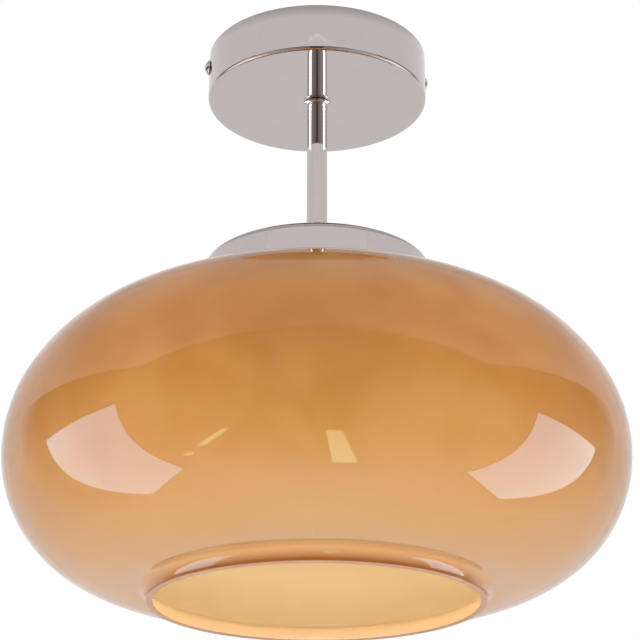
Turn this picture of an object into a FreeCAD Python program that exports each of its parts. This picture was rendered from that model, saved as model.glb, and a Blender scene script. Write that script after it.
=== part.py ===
import FreeCAD, Part
import math
import os
from FreeCAD import Vector

# Semi flush ceiling light, in millimetres with +Z up.
# The origin is on the ceiling plane and on the light's own axis, midway between the bracket's slots.
# X runs along the bracket, from one side screw to the other.

# Ceiling canopy, a drawn sheet cup that opens upwards
canopy_diameter = 130.0
canopy_height = 28.8
canopy_sheet = 1.0
canopy_edge_radius = 2.0

# Shade holder, a drawn sheet cup that opens downwards over the glass
holder_diameter = 130.0
holder_height = 25.7
holder_sheet = 1.0
holder_edge_radius = 4.0

# Stem: a polished sleeve over one hollow threaded tube that clamps everything together
stem_length = 107.2
sleeve_diameter = 12.0
sleeve_wall = 0.8
collar_diameter = 15.9
collar_height = 2.6
thread_diameter = 10.0
thread_bore = 7.0
thread_end_above_nut = 3.0
thread_end_in_cap = 5.2

# Nuts and toothed washers on the threaded tube
nut_across_flats = 14.0
nut_thickness = 3.0
nut_chamfer = 0.8
washer_diameter = 17.0
washer_thickness = 0.8
washer_teeth = 10
tooth_gap_radius = 1.1

# Mounting bracket, a steel strap with an ear bent down at each end
strap_width = 20.0
strap_thickness = 2.0
strap_bend_radius = 1.0
strap_corner_radius = 3.0
ear_drop = 20.0
slot_spacing = 92.0
slot_length = 18.0
slot_width = 5.2
cable_hole_diameter = 11.0

# Side screws that hold the canopy to the bracket's ears
side_screw_diameter = 4.0
side_screw_length = 8.0
side_screw_drop = 10.2
screw_head_diameter = 9.0
screw_head_height = 2.8
screw_recess_width = 1.0
screw_recess_depth = 1.2
screw_recess_length = 5.0

# Terminal block under the bracket
block_length = 28.0
block_width = 17.0
block_height = 13.0
block_corner_radius = 1.5
block_centre_x = 25.5
pole_pitch = 9.5
pole_drop = 7.5
pole_tube_diameter = 5.0
pole_tube_wall = 0.9
pole_tube_length = 14.0
pole_screw_diameter = 3.0
pole_screw_spacing = 8.0
pole_screw_recess = 0.6
block_screw_diameter = 3.0
block_screw_head_diameter = 5.4
block_screw_head_height = 1.6

# Earth screw and its ring tag on the bracket
earth_screw_x = -22.0
earth_screw_diameter = 4.0
earth_head_diameter = 7.6
earth_head_height = 2.4
tag_diameter = 8.0
tag_thickness = 0.8
tag_barrel_diameter = 3.8
tag_barrel_length = 5.0
tag_barrel_end_x = -9.0
tag_tongue_width = 2.4

# Leads inside the light
lead_diameter = 2.2
lead_offset = 1.6
lead_bend_drop = 5.5
lead_turn_step = 4.4
lead_grip = 3.5
lead_entry = 5.5
lead_exit_run = 5.8
lead_gather_x = 3.6
lead_gather_share = 0.42
lead_gather_rise = 1.0
lead_bend_share = 0.45
earth_exit_run = 5.0
earth_climb_run = 12.5

# Glass shade: its outside is a chain of tangent arcs, given as radius and end angle in degrees.
# The last arc upwards ends at the flat land round the lamp holder, and the last one downwards at the neck.
glass_diameter = 346.0
glass_wall = 3.4
glass_land_diameter = 64.2
shoulder_radius = 76.3
shoulder_angle = 29.6
crown_radius = 96.3
crown_angle = 70.6
belly_radius = 71.4
belly_angle = 55.0
neck_diameter = 183.4
neck_fillet = 6.0
neck_height = 7.4
glass_hole_clearance = 1.3
rim_chamfer = 0.5

# Lamp holder
cap_diameter = 43.0
cap_wall = 2.0
cap_boss_diameter = 22.0
cap_shoulder_height = 9.0
cap_rim_diameter = 32.0
cap_rim_thickness = 1.5
bush_diameter = 13.0
bush_length = 8.0
bush_seat_diameter = 17.0
flange_overhang = 4.3
flange_thickness = 2.0
skirt_diameter = 39.4
skirt_length = 34.0
skirt_bore = 34.0
skirt_mouth_chamfer = 0.8
core_height = 6.1
ledge_thickness = 1.6
ledge_bore = 29.2
shell_bore = 26.6
shell_wall = 0.4
shell_length = 20.0
shell_hole_diameter = 15.0
contact_width = 5.0
contact_thickness = 0.4
contact_root_x = 5.0
contact_root_overhang = 1.6
contact_spring_drop = 1.9
contact_reach = 2.5
rivet_diameter = 2.4
shell_rivet_x = -10.6
terminal_inner_x = 9.0
terminal_width = 7.0
terminal_length = 6.0
terminal_height = 5.4
terminal_bore_rise = 2.4
terminal_foot_thickness = 1.0
terminal_foot_overhang = 1.8
terminal_screw_diameter = 3.0
terminal_head_diameter = 5.0
terminal_head_height = 1.4

# Shade ring and gaskets that clamp the glass
upper_gasket_thickness = 1.0
lower_gasket_thickness = 1.5
lower_gasket_width = 8.3
ring_flange_width = 9.3
ring_flange_thickness = 3.0
ring_collar_wall = 5.3
ring_height = 11.0
ring_ribs = 24
ring_rib_radius = 1.2

# Lamp bulb with a screw cap
bulb_diameter = 60.0
bulb_length = 109.0
bulb_wall = 1.2
bulb_cap_diameter = 26.0
bulb_cap_length = 18.5
bulb_pad_diameter = 9.0
bulb_pad_height = 1.2
bulb_insulator_height = 3.0
bulb_insulator_diameter = 18.0
bulb_neck_diameter = 29.0
bulb_neck_length = 6.0
bulb_housing_length = 42.0
bulb_flare_out = 0.36
bulb_flare_down = 0.55

# Clearances
running_clearance = 0.05
hole_clearance = 0.3
seat_clearance = 0.3
ear_clearance = 0.4
turning_gap = 0.05
overcut = 1.0
same = 1e-6

# Levels, from the ceiling down
canopy_floor = -canopy_height
holder_top = canopy_floor - stem_length
holder_rim = holder_top - holder_height
holder_ceiling = holder_top - holder_sheet
canopy_washer_top = canopy_floor + canopy_sheet + washer_thickness
canopy_nut_top = canopy_washer_top + nut_thickness
holder_washer_bottom = holder_ceiling - washer_thickness
holder_nut_bottom = holder_washer_bottom - nut_thickness
cap_top = holder_nut_bottom
thread_top = canopy_nut_top + thread_end_above_nut
thread_bottom = cap_top - thread_end_in_cap
pole_level = -strap_thickness - pole_drop
block_bottom = -strap_thickness - block_height

# Plan sizes that follow from the ones above
thread_radius = thread_diameter / 2
bored_radius = thread_radius + running_clearance
canopy_inner_radius = canopy_diameter / 2 - canopy_sheet
ear_outer_x = math.sqrt(canopy_inner_radius ** 2 - (strap_width / 2) ** 2) - ear_clearance
skirt_radius = skirt_diameter / 2
flange_radius = skirt_radius + flange_overhang

up = Vector(0, 0, 1)
along_x = Vector(1, 0, 0)


def at(radius, level):
    """A point of a turned outline: distance from the axis, and height."""
    return Vector(radius, 0, level)


def straight_edges(points):
    """The edges that join the points in turn."""
    return [Part.LineSegment(a, b).toShape() for a, b in zip(points, points[1:])]


def turned(edges):
    """A solid of revolution about Z from a closed outline in the XZ plane."""
    face = Part.Face(Part.Wire(Part.__sortEdges__(edges)))
    solid = face.revolve(Vector(0, 0, 0), up, 360)
    return solid if solid.isValid() and solid.Volume > 0 else solid.reversed()


def turned_points(points):
    """A solid of revolution whose outline has only straight lines."""
    return turned(straight_edges(list(points) + [points[0]]))


def turned_ring(inner, outer, bottom, top):
    """A plain ring or washer about Z."""
    return turned_points([at(inner, bottom), at(outer, bottom), at(outer, top), at(inner, top)])


def rod(radius, start, direction, length):
    """A plain round bar."""
    return Part.makeCylinder(radius, length, start, direction)


def block(low, high):
    """A box between two corners."""
    size = high - low
    return Part.makeBox(size.x, size.y, size.z, low)


def arc_edge(centre, radius, start_angle, end_angle):
    """An arc in the XZ plane, with angles in degrees above the horizontal."""
    def spot(angle):
        turn = math.radians(angle)
        return centre + Vector(radius * math.cos(turn), 0, radius * math.sin(turn))
    middle = (start_angle + end_angle) / 2
    return Part.Arc(spot(start_angle), spot(middle), spot(end_angle)).toShape()


def sheet_cup(radius, height, sheet, edge_radius, hole_radius):
    """A drawn cup with its closed end at z = 0 and its wall rising to the given height."""
    inner_edge = max(edge_radius - sheet, sheet / 2)
    corner = at(radius - edge_radius, edge_radius)
    inner_corner = at(radius - sheet - inner_edge, sheet + inner_edge)
    edges = [
        arc_edge(corner, edge_radius, -90, 0),
        arc_edge(inner_corner, inner_edge, -90, 0),
    ]
    edges += straight_edges([at(hole_radius, 0), at(radius - edge_radius, 0)])
    edges += straight_edges([
        at(radius, edge_radius),
        at(radius, height),
        at(radius - sheet, height),
        at(radius - sheet, sheet + inner_edge),
    ])
    edges += straight_edges([
        at(radius - sheet - inner_edge, sheet),
        at(hole_radius, sheet),
        at(hole_radius, 0),
    ])
    return turned(edges)


def moved(shape, x, y, z):
    """The shape shifted by the given amounts."""
    copy = shape.copy()
    copy.translate(Vector(x, y, z))
    return copy


def turned_over(shape):
    """The shape turned upside down about X."""
    copy = shape.copy()
    copy.rotate(Vector(0, 0, 0), along_x, 180)
    return copy


def mounting_bracket():
    """Strap against the ceiling with two ears, two slots, a cable hole and four small threads."""
    half = strap_width / 2
    outer = strap_bend_radius + strap_thickness
    bend = at(ear_outer_x - outer, -outer)
    side = [
        arc_edge(bend, outer, 0, 90),
        arc_edge(bend, strap_bend_radius, 0, 90),
    ]
    side += straight_edges([at(0, 0), at(ear_outer_x - outer, 0)])
    side += straight_edges([
        at(ear_outer_x, -outer),
        at(ear_outer_x, -ear_drop),
        at(ear_outer_x - strap_thickness, -ear_drop),
        at(ear_outer_x - strap_thickness, -outer),
    ])
    side += straight_edges([
        at(ear_outer_x - outer, -strap_thickness),
        at(0, -strap_thickness),
        at(0, 0),
    ])
    face = Part.Face(Part.Wire(Part.__sortEdges__(side)))
    half_strap = moved(face.extrude(Vector(0, strap_width, 0)), 0, -half, 0)
    corners = [
        edge for edge in half_strap.Edges
        if abs(edge.BoundBox.XLength - strap_thickness) < same
        and abs(edge.BoundBox.ZMin + ear_drop) < same
        and edge.BoundBox.ZLength < same
        and edge.BoundBox.YLength < same
    ]
    half_strap = half_strap.makeFillet(strap_corner_radius, corners)
    other_half = half_strap.mirror(Vector(0, 0, 0), along_x)
    strap = half_strap.fuse(other_half).removeSplitter()
    cuts = [rod(cable_hole_diameter / 2, Vector(0, 0, -strap_thickness - overcut), up,
                strap_thickness + 2 * overcut)]
    for side_sign in (-1, 1):
        cuts.append(ceiling_slot(side_sign * slot_spacing / 2))
        start = Vector(side_sign * (ear_outer_x + overcut), 0, -side_screw_drop)
        cuts.append(rod(side_screw_diameter / 2, start, along_x * -side_sign,
                        strap_thickness + 2 * overcut))
    for x, y, radius in (
        (earth_screw_x, 0, earth_screw_diameter / 2),
        (block_centre_x, pole_pitch / 2, block_screw_diameter / 2),
    ):
        cuts.append(rod(radius, Vector(x, y, -strap_thickness - overcut), up,
                        strap_thickness + 2 * overcut))
    return strap.cut(cuts)


def ceiling_slot(centre_x):
    """The cutting tool for one slot through the strap, its length along X."""
    radius = slot_width / 2
    reach = slot_length / 2 - radius
    depth = strap_thickness + 2 * overcut
    low = -strap_thickness - overcut
    ends = [rod(radius, Vector(centre_x + sign * reach, 0, low), up, depth) for sign in (-1, 1)]
    middle = block(Vector(centre_x - reach, -radius, low), Vector(centre_x + reach, radius, low + depth))
    return middle.fuse(ends).removeSplitter()


def ceiling_canopy():
    """Polished cup against the ceiling, with a hole for the stem and one for each side screw."""
    cup = sheet_cup(canopy_diameter / 2, canopy_height, canopy_sheet, canopy_edge_radius,
                    thread_radius + hole_clearance)
    cup = moved(cup, 0, 0, canopy_floor)
    hole_radius = side_screw_diameter / 2 + hole_clearance
    start = Vector(-canopy_diameter, 0, -side_screw_drop)
    return cup.cut(rod(hole_radius, start, along_x, 2 * canopy_diameter))


def side_screw(side_sign):
    """Domed machine screw through the canopy wall into the bracket's ear."""
    head_radius = screw_head_diameter / 2
    shank_radius = side_screw_diameter / 2 - running_clearance
    dome = (head_radius ** 2 + screw_head_height ** 2) / (2 * screw_head_height)
    edges = straight_edges([
        at(0, screw_head_height),
        at(0, -side_screw_length),
        at(shank_radius, -side_screw_length),
        at(shank_radius, 0),
        at(head_radius, 0),
    ])
    low_angle = math.degrees(math.asin((dome - screw_head_height) / dome))
    edges.append(arc_edge(at(0, screw_head_height - dome), dome, low_angle, 90))
    screw = turned(edges)
    recess_bottom = screw_head_height - screw_recess_depth
    half_length = screw_recess_length / 2
    half_width = screw_recess_width / 2
    for length, width in ((half_length, half_width), (half_width, half_length)):
        low = Vector(-length, -width, recess_bottom)
        high = Vector(length, width, screw_head_height + overcut)
        screw = screw.cut(block(low, high))
    screw.rotate(Vector(0, 0, 0), Vector(0, 1, 0), side_sign * 90)
    return moved(screw, side_sign * (canopy_diameter / 2 + turning_gap), 0, -side_screw_drop)


def toothed_washer(bottom):
    """Lock washer with notches round its rim."""
    radius = washer_diameter / 2
    washer = turned_ring(thread_radius + hole_clearance, radius, bottom, bottom + washer_thickness)
    notches = []
    for step in range(washer_teeth):
        turn = 2 * math.pi * step / washer_teeth
        spot = Vector(radius * math.cos(turn), radius * math.sin(turn), bottom - overcut)
        notches.append(rod(tooth_gap_radius, spot, up, washer_thickness + 2 * overcut))
    return washer.cut(notches)


def hexagon_nut(bottom):
    """Thin hexagon nut on the threaded tube, with its corners chamfered on both faces."""
    corner = nut_across_flats / math.sqrt(3)
    points = [
        Vector(corner * math.cos(math.radians(60 * step)), corner * math.sin(math.radians(60 * step)), 0)
        for step in range(7)
    ]
    prism = Part.Face(Part.makePolygon(points)).extrude(Vector(0, 0, nut_thickness))
    half_flat = nut_across_flats / 2
    rounding = turned_points([
        at(0, 0),
        at(half_flat, 0),
        at(corner, nut_chamfer),
        at(corner, nut_thickness - nut_chamfer),
        at(half_flat, nut_thickness),
        at(0, nut_thickness),
    ])
    hole = rod(bored_radius, Vector(0, 0, -overcut), up, nut_thickness + 2 * overcut)
    return moved(prism.common(rounding).cut(hole), 0, 0, bottom)


def stem_collar():
    """Bead-shaped collar between the canopy and the stem sleeve."""
    half = collar_height / 2
    middle = canopy_floor - half
    round_radius = collar_diameter / 2 - half
    inner = thread_radius + hole_clearance
    edges = [arc_edge(at(round_radius, middle), half, -90, 90)]
    edges += straight_edges([
        at(round_radius, canopy_floor),
        at(inner, canopy_floor),
        at(inner, canopy_floor - collar_height),
        at(round_radius, canopy_floor - collar_height),
    ])
    return turned(edges)


def stem_sleeve():
    """Polished tube from the collar down to the shade holder."""
    radius = sleeve_diameter / 2
    return turned_ring(radius - sleeve_wall, radius, holder_top, canopy_floor - collar_height)


def threaded_tube():
    """Hollow threaded tube from inside the canopy to inside the lamp holder."""
    return turned_ring(thread_bore / 2, thread_radius, thread_bottom, thread_top)


def shade_holder():
    """Polished cup over the top of the glass."""
    cup = sheet_cup(holder_diameter / 2, holder_height, holder_sheet, holder_edge_radius,
                    thread_radius + hole_clearance)
    return moved(turned_over(cup), 0, 0, holder_top)


def glass_arcs():
    """Centres of the shade's outer arcs about a level of 0 at its widest, and the two closing radii."""
    def next_centre(centre, radius, next_radius, angle):
        turn = math.radians(angle)
        step = radius - next_radius
        return centre + Vector(step * math.cos(turn), 0, step * math.sin(turn))
    widest = glass_diameter / 2
    shoulder = at(widest - shoulder_radius, 0)
    crown = next_centre(shoulder, shoulder_radius, crown_radius, shoulder_angle)
    land = glass_land_diameter / 2
    top_radius = crown_radius + (crown.x - land) / math.cos(math.radians(crown_angle))
    top = next_centre(crown, crown_radius, top_radius, crown_angle)
    belly = at(widest - belly_radius, 0)
    neck_start = neck_diameter / 2 + neck_fillet
    base_radius = belly_radius + (belly.x - neck_start) / math.cos(math.radians(belly_angle))
    base = next_centre(belly, belly_radius, base_radius, -belly_angle)
    return shoulder, crown, top, belly, base, top_radius, base_radius


def glass_levels():
    """The level of the shade's widest circle, of its flat top and of its rim."""
    top, _, base, top_radius, base_radius = glass_arcs()[2:]
    holder_inner = holder_diameter / 2 - holder_sheet
    across = max(holder_inner - top.x, 0.0)
    seat = top.z + math.sqrt(top_radius ** 2 - across ** 2)
    widest_level = holder_rim - seat_clearance - seat
    flat_top = widest_level + top.z + top_radius
    rim = widest_level + base.z - base_radius - neck_height
    return widest_level, flat_top, rim


widest_level, glass_top, glass_rim = glass_levels()
glass_underside = glass_top - glass_wall
flange_bottom = glass_top + upper_gasket_thickness
flange_top = flange_bottom + flange_thickness
skirt_bottom = flange_bottom - skirt_length
core_bottom = flange_top - core_height
boss_bottom = core_bottom - ledge_thickness
contact_level = boss_bottom - contact_thickness - contact_spring_drop
terminal_level = flange_top + terminal_bore_rise
lower_gasket_bottom = glass_underside - lower_gasket_thickness
ring_top = lower_gasket_bottom - turning_gap
bulb_top = contact_level - turning_gap


def glass_shade():
    """Blown shade: flat top round the lamp holder, round belly, short neck and ground rim."""
    shoulder, crown, top, belly, base, top_radius, base_radius = glass_arcs()
    hole = skirt_radius + glass_hole_clearance
    neck_radius = neck_diameter / 2
    fillet_centre = at(base.x, base.z - base_radius - neck_fillet)
    edges = []
    for depth in (0, glass_wall):
        edges.append(arc_edge(shoulder, shoulder_radius - depth, 0, shoulder_angle))
        edges.append(arc_edge(crown, crown_radius - depth, shoulder_angle, crown_angle))
        edges.append(arc_edge(top, top_radius - depth, crown_angle, 90))
        edges.append(arc_edge(belly, belly_radius - depth, -belly_angle, 0))
        edges.append(arc_edge(base, base_radius - depth, -90, -belly_angle))
        edges.append(arc_edge(fillet_centre, neck_fillet + depth, 90, 180))
        level = top.z + top_radius - depth
        edges += straight_edges([at(top.x, level), at(hole, level)])
    edges += straight_edges([
        at(hole, top.z + top_radius),
        at(hole, top.z + top_radius - glass_wall),
    ])
    rim = base.z - base_radius - neck_height
    edges += straight_edges([
        at(neck_radius, fillet_centre.z),
        at(neck_radius, rim + rim_chamfer),
        at(neck_radius - rim_chamfer, rim),
        at(neck_radius - glass_wall + rim_chamfer, rim),
        at(neck_radius - glass_wall, rim + rim_chamfer),
        at(neck_radius - glass_wall, fillet_centre.z),
    ])
    return moved(turned(edges), 0, 0, widest_level)


def lampholder_cap():
    """Domed insulating cap with a thick boss round the metal bush."""
    outer = cap_diameter / 2
    inner = outer - cap_wall
    boss = cap_boss_diameter / 2
    seat = bush_seat_diameter / 2
    bush = bush_diameter / 2 + running_clearance
    spread = outer - boss
    shoulder = cap_top - cap_shoulder_height
    tilt = Vector(spread * (1 - math.cos(math.radians(45))), 0,
                  -cap_shoulder_height * (1 - math.sin(math.radians(45))))
    outer_arc = Part.Arc(at(boss, cap_top), at(outer, cap_top) + Vector(-tilt.x, 0, tilt.z),
                         at(outer, shoulder)).toShape()
    inner_arc = Part.Arc(at(boss, cap_top - cap_wall),
                         at(inner, cap_top - cap_wall) + Vector(-tilt.x, 0, tilt.z),
                         at(inner, shoulder - cap_wall)).toShape()
    edges = [outer_arc, inner_arc]
    edges += straight_edges([
        at(outer, shoulder),
        at(outer, flange_top),
        at(cap_rim_diameter / 2, flange_top),
        at(cap_rim_diameter / 2, flange_top + cap_rim_thickness),
        at(inner, flange_top + cap_rim_thickness),
        at(inner, shoulder - cap_wall),
    ])
    edges += straight_edges([
        at(boss, cap_top - cap_wall),
        at(seat, cap_top - cap_wall),
        at(seat, cap_top - bush_length),
        at(bush, cap_top - bush_length),
        at(bush, cap_top),
        at(boss, cap_top),
    ])
    return turned(edges)


def lampholder_bush():
    """Metal bush in the cap that screws onto the threaded tube."""
    return turned_ring(bored_radius, bush_diameter / 2, cap_top - bush_length, cap_top)


def lampholder_skirt():
    """Insulating skirt with the flange that rests on the glass and the thread for the shade ring."""
    outer = skirt_radius
    bore = skirt_bore / 2
    return turned_points([
        at(bore + running_clearance, flange_top),
        at(flange_radius, flange_top),
        at(flange_radius, flange_bottom),
        at(outer, flange_bottom),
        at(outer, skirt_bottom + skirt_mouth_chamfer),
        at(outer - skirt_mouth_chamfer, skirt_bottom),
        at(bore, skirt_bottom),
        at(bore, boss_bottom),
        at(ledge_bore / 2 + running_clearance, boss_bottom),
        at(ledge_bore / 2 + running_clearance, core_bottom),
        at(bore + running_clearance, core_bottom),
    ])


def lampholder_core():
    """Ceramic disc that carries the contacts, with one rivet hole for each."""
    core = turned_points([
        at(0, flange_top),
        at(skirt_bore / 2, flange_top),
        at(skirt_bore / 2, core_bottom),
        at(ledge_bore / 2, core_bottom),
        at(ledge_bore / 2, boss_bottom),
        at(0, boss_bottom),
    ])
    depth = flange_top - boss_bottom + 2 * overcut
    for x in (contact_root_x, shell_rivet_x):
        spot = Vector(x, 0, boss_bottom - overcut)
        core = core.cut(rod(rivet_diameter / 2 + running_clearance, spot, up, depth))
    return core


def screw_shell():
    """Metal shell that takes the lamp's screw cap, with its rivet through the core."""
    bore = shell_bore / 2
    shell = turned_points([
        at(shell_hole_diameter / 2, boss_bottom),
        at(bore + shell_wall, boss_bottom),
        at(bore + shell_wall, boss_bottom - shell_length),
        at(bore, boss_bottom - shell_length),
        at(bore, boss_bottom - shell_wall),
        at(shell_hole_diameter / 2, boss_bottom - shell_wall),
    ])
    top = flange_top + terminal_foot_thickness
    spot = Vector(shell_rivet_x, 0, boss_bottom - shell_wall)
    return shell.fuse(rod(rivet_diameter / 2, spot, up, top - spot.z)).removeSplitter()


def centre_contact():
    """Springy contact leaf that slopes down to the axis, with its rivet through the core."""
    upper = boss_bottom
    lower = contact_level + contact_thickness
    root_end = contact_root_x + contact_root_overhang
    bend = contact_root_x - contact_root_overhang
    points = [
        Vector(root_end, 0, upper),
        Vector(bend, 0, upper),
        Vector(-contact_reach / 2, 0, lower),
        Vector(-contact_reach, 0, lower),
    ]
    under = [spot - Vector(0, 0, contact_thickness) for spot in reversed(points)]
    face = Part.Face(Part.makePolygon(points + under + [points[0]]))
    leaf = moved(face.extrude(Vector(0, contact_width, 0)), 0, -contact_width / 2, 0)
    top = flange_top + terminal_foot_thickness
    spot = Vector(contact_root_x, 0, boss_bottom - contact_thickness)
    return leaf.fuse(rod(rivet_diameter / 2, spot, up, top - spot.z)).removeSplitter()


def lampholder_terminal(side_sign):
    """Brass clamp block with a foot that reaches its rivet, and a bore for the lead."""
    rivet_x = contact_root_x if side_sign > 0 else shell_rivet_x
    half = terminal_width / 2
    foot_end = min(abs(rivet_x), terminal_inner_x) - terminal_foot_overhang
    body = block(Vector(terminal_inner_x, -half, flange_top),
                 Vector(terminal_inner_x + terminal_length, half, flange_top + terminal_height))
    foot = block(Vector(foot_end, -half, flange_top),
                 Vector(terminal_inner_x + terminal_length, half, flange_top + terminal_foot_thickness))
    clamp = body.fuse(foot).removeSplitter()
    bore = rod(lead_diameter / 2 + running_clearance,
               Vector(terminal_inner_x - overcut, 0, terminal_level), along_x, terminal_length)
    screw_x = terminal_inner_x + terminal_length / 2
    thread = rod(terminal_screw_diameter / 2 + running_clearance,
                 Vector(screw_x, 0, terminal_level), up, terminal_height)
    clamp = clamp.cut([bore, thread])
    if side_sign < 0:
        clamp.rotate(Vector(0, 0, 0), up, 180)
    rivet = rod(rivet_diameter / 2 + running_clearance,
                Vector(rivet_x, 0, flange_top - overcut), up, terminal_foot_thickness + overcut)
    return clamp.cut(rivet)


def lampholder_terminal_screws():
    """Two small cheese-head screws, one on each lead clamp."""
    screws = []
    for side_sign in (-1, 1):
        x = side_sign * (terminal_inner_x + terminal_length / 2)
        start = terminal_level + lead_diameter / 2 + running_clearance
        top = flange_top + terminal_height
        shank = rod(terminal_screw_diameter / 2, Vector(x, 0, start), up, top - start)
        head = rod(terminal_head_diameter / 2, Vector(x, 0, top), up, terminal_head_height)
        screws.append(shank.fuse(head).removeSplitter())
    return Part.makeCompound(screws)


def upper_gasket():
    """Thin washer between the lamp holder's flange and the glass."""
    return turned_ring(skirt_radius + hole_clearance, flange_radius, glass_top, flange_bottom)


def lower_gasket():
    """Washer between the glass and the shade ring."""
    return turned_ring(skirt_radius + hole_clearance, skirt_radius + lower_gasket_width,
                       lower_gasket_bottom, glass_underside)


def shade_ring():
    """Screwed ring with a flange that clamps the glass and a collar ribbed for the fingers."""
    bore = skirt_radius + running_clearance
    flange = skirt_radius + ring_flange_width
    collar = skirt_radius + ring_collar_wall
    ring = turned_points([
        at(bore, ring_top),
        at(flange, ring_top),
        at(flange, ring_top - ring_flange_thickness),
        at(collar, ring_top - ring_flange_thickness),
        at(collar, ring_top - ring_height),
        at(bore, ring_top - ring_height),
    ])
    grooves = []
    for step in range(ring_ribs):
        turn = 2 * math.pi * step / ring_ribs
        spot = Vector(collar * math.cos(turn), collar * math.sin(turn), ring_top - ring_height - overcut)
        grooves.append(rod(ring_rib_radius, spot, up, ring_height - ring_flange_thickness + overcut))
    return ring.cut(grooves)


def terminal_block():
    """Insulating block with three through bores, screw holes from below and a fixing hole."""
    low = Vector(block_centre_x - block_width / 2, -block_length / 2, block_bottom)
    high = Vector(block_centre_x + block_width / 2, block_length / 2, -strap_thickness)
    body = block(low, high)
    uprights = [edge for edge in body.Edges if abs(edge.BoundBox.ZLength - block_height) < same]
    body = body.makeFillet(block_corner_radius, uprights)
    cuts = []
    for y in pole_places():
        cuts.append(rod(pole_tube_diameter / 2 + running_clearance,
                        Vector(low.x - overcut, y, pole_level), along_x, block_width + 2 * overcut))
        for x in pole_screw_places():
            cuts.append(rod(pole_screw_diameter / 2 + hole_clearance, Vector(x, y, block_bottom - overcut),
                            up, pole_level - block_bottom + overcut))
    x, y = block_centre_x, pole_pitch / 2
    cuts.append(rod(block_screw_diameter / 2 + running_clearance, Vector(x, y, block_bottom - overcut),
                    up, block_height + 2 * overcut))
    return body.cut(cuts)


def pole_places():
    """The Y of each pole of the terminal block."""
    return [-pole_pitch, 0, pole_pitch]


def pole_screw_places():
    """The X of each clamp screw along a pole."""
    return [block_centre_x - pole_screw_spacing / 2, block_centre_x + pole_screw_spacing / 2]


def terminal_tubes():
    """Three brass tubes that join the leads inside the terminal block."""
    tubes = []
    start_x = block_centre_x - pole_tube_length / 2
    inner = pole_tube_diameter / 2 - pole_tube_wall
    for y in pole_places():
        start = Vector(start_x, y, pole_level)
        tube = rod(pole_tube_diameter / 2, start, along_x, pole_tube_length)
        tube = tube.cut(rod(inner, start - along_x * overcut, along_x, pole_tube_length + 2 * overcut))
        for x in pole_screw_places():
            tube = tube.cut(rod(pole_screw_diameter / 2 + running_clearance,
                                Vector(x, y, pole_level - pole_tube_diameter), up, pole_tube_diameter))
        tubes.append(tube)
    return Part.makeCompound(tubes)


def terminal_block_screws():
    """Six clamp screws, two for each pole, turned from below."""
    screws = []
    start = block_bottom + pole_screw_recess
    end = pole_level - lead_diameter / 2 - running_clearance
    for y in pole_places():
        for x in pole_screw_places():
            screws.append(rod(pole_screw_diameter / 2, Vector(x, y, start), up, end - start))
    return Part.makeCompound(screws)


def block_screw():
    """Screw that holds the terminal block to the strap."""
    spot = Vector(block_centre_x, pole_pitch / 2, block_bottom)
    shank = rod(block_screw_diameter / 2 - running_clearance, spot, up, block_height + strap_thickness)
    head = rod(block_screw_head_diameter / 2, spot - up * block_screw_head_height, up,
               block_screw_head_height)
    return shank.fuse(head).removeSplitter()


def earth_tag():
    """Ring tag with a tongue and a barrel crimped on the earth lead."""
    top = -strap_thickness
    barrel_level = top - tag_barrel_diameter / 2
    spot = Vector(earth_screw_x, 0, top - tag_thickness)
    plate = rod(tag_diameter / 2, spot, up, tag_thickness)
    tongue = block(Vector(earth_screw_x, -tag_tongue_width / 2, top - tag_thickness),
                   Vector(tag_barrel_end_x - tag_barrel_length + overcut, tag_tongue_width / 2, top))
    start = Vector(tag_barrel_end_x - tag_barrel_length, 0, barrel_level)
    barrel = rod(tag_barrel_diameter / 2, start, along_x, tag_barrel_length)
    tag = plate.fuse([tongue, barrel]).removeSplitter()
    hole = rod(earth_screw_diameter / 2 + running_clearance, spot - up * overcut, up,
               tag_thickness + 2 * overcut)
    lead_hole = rod(lead_diameter / 2 + running_clearance, start + along_x * overcut, along_x,
                    tag_barrel_length)
    return tag.cut([hole, lead_hole])


def earth_screw():
    """Pan-head screw that presses the earth tag to the strap."""
    top_of_head = -strap_thickness - tag_thickness
    head = rod(earth_head_diameter / 2, Vector(earth_screw_x, 0, top_of_head - earth_head_height), up,
               earth_head_height)
    rim = [edge for edge in head.Edges if edge.Vertexes[0].Z < top_of_head - earth_head_height / 2
           and edge.BoundBox.ZLength < same]
    head = head.makeFillet(earth_head_height / 2, rim)
    shank = rod(earth_screw_diameter / 2 - running_clearance, Vector(earth_screw_x, 0, top_of_head), up,
                -top_of_head)
    return head.fuse(shank).removeSplitter()


def lead(points):
    """A round lead along straight runs joined by tangent arcs, with its check length."""
    runs = [b - a for a, b in zip(points, points[1:])]
    start = points[0]
    edges = []
    radii = []
    for corner, run_in, run_out in zip(points[1:], runs, runs[1:]):
        turn = run_in.getAngle(run_out)
        cut_back = lead_bend_share * min(run_in.Length, run_out.Length)
        radius = cut_back / math.tan(turn / 2)
        way_in = Vector(run_in).normalize()
        way_out = Vector(run_out).normalize()
        enter = corner - way_in * cut_back
        leave = corner + way_out * cut_back
        inward = (way_out - way_in).normalize()
        middle = corner + inward * (radius / math.cos(turn / 2) - radius)
        edges.append(Part.LineSegment(start, enter).toShape())
        edges.append(Part.Arc(enter, middle, leave).toShape())
        radii.append(round(radius, 2))
        start = leave
    edges.append(Part.LineSegment(start, points[-1]).toShape())
    path = Part.Wire(edges)
    disc = Part.Face(Part.Wire(Part.makeCircle(lead_diameter / 2, points[0], runs[0])))
    tube = path.makePipe(disc)
    expected = math.pi * (lead_diameter / 2) ** 2 * path.Length
    print("lead radii", radii, "volume ratio", round(tube.Volume / expected, 4))
    return tube


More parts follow.
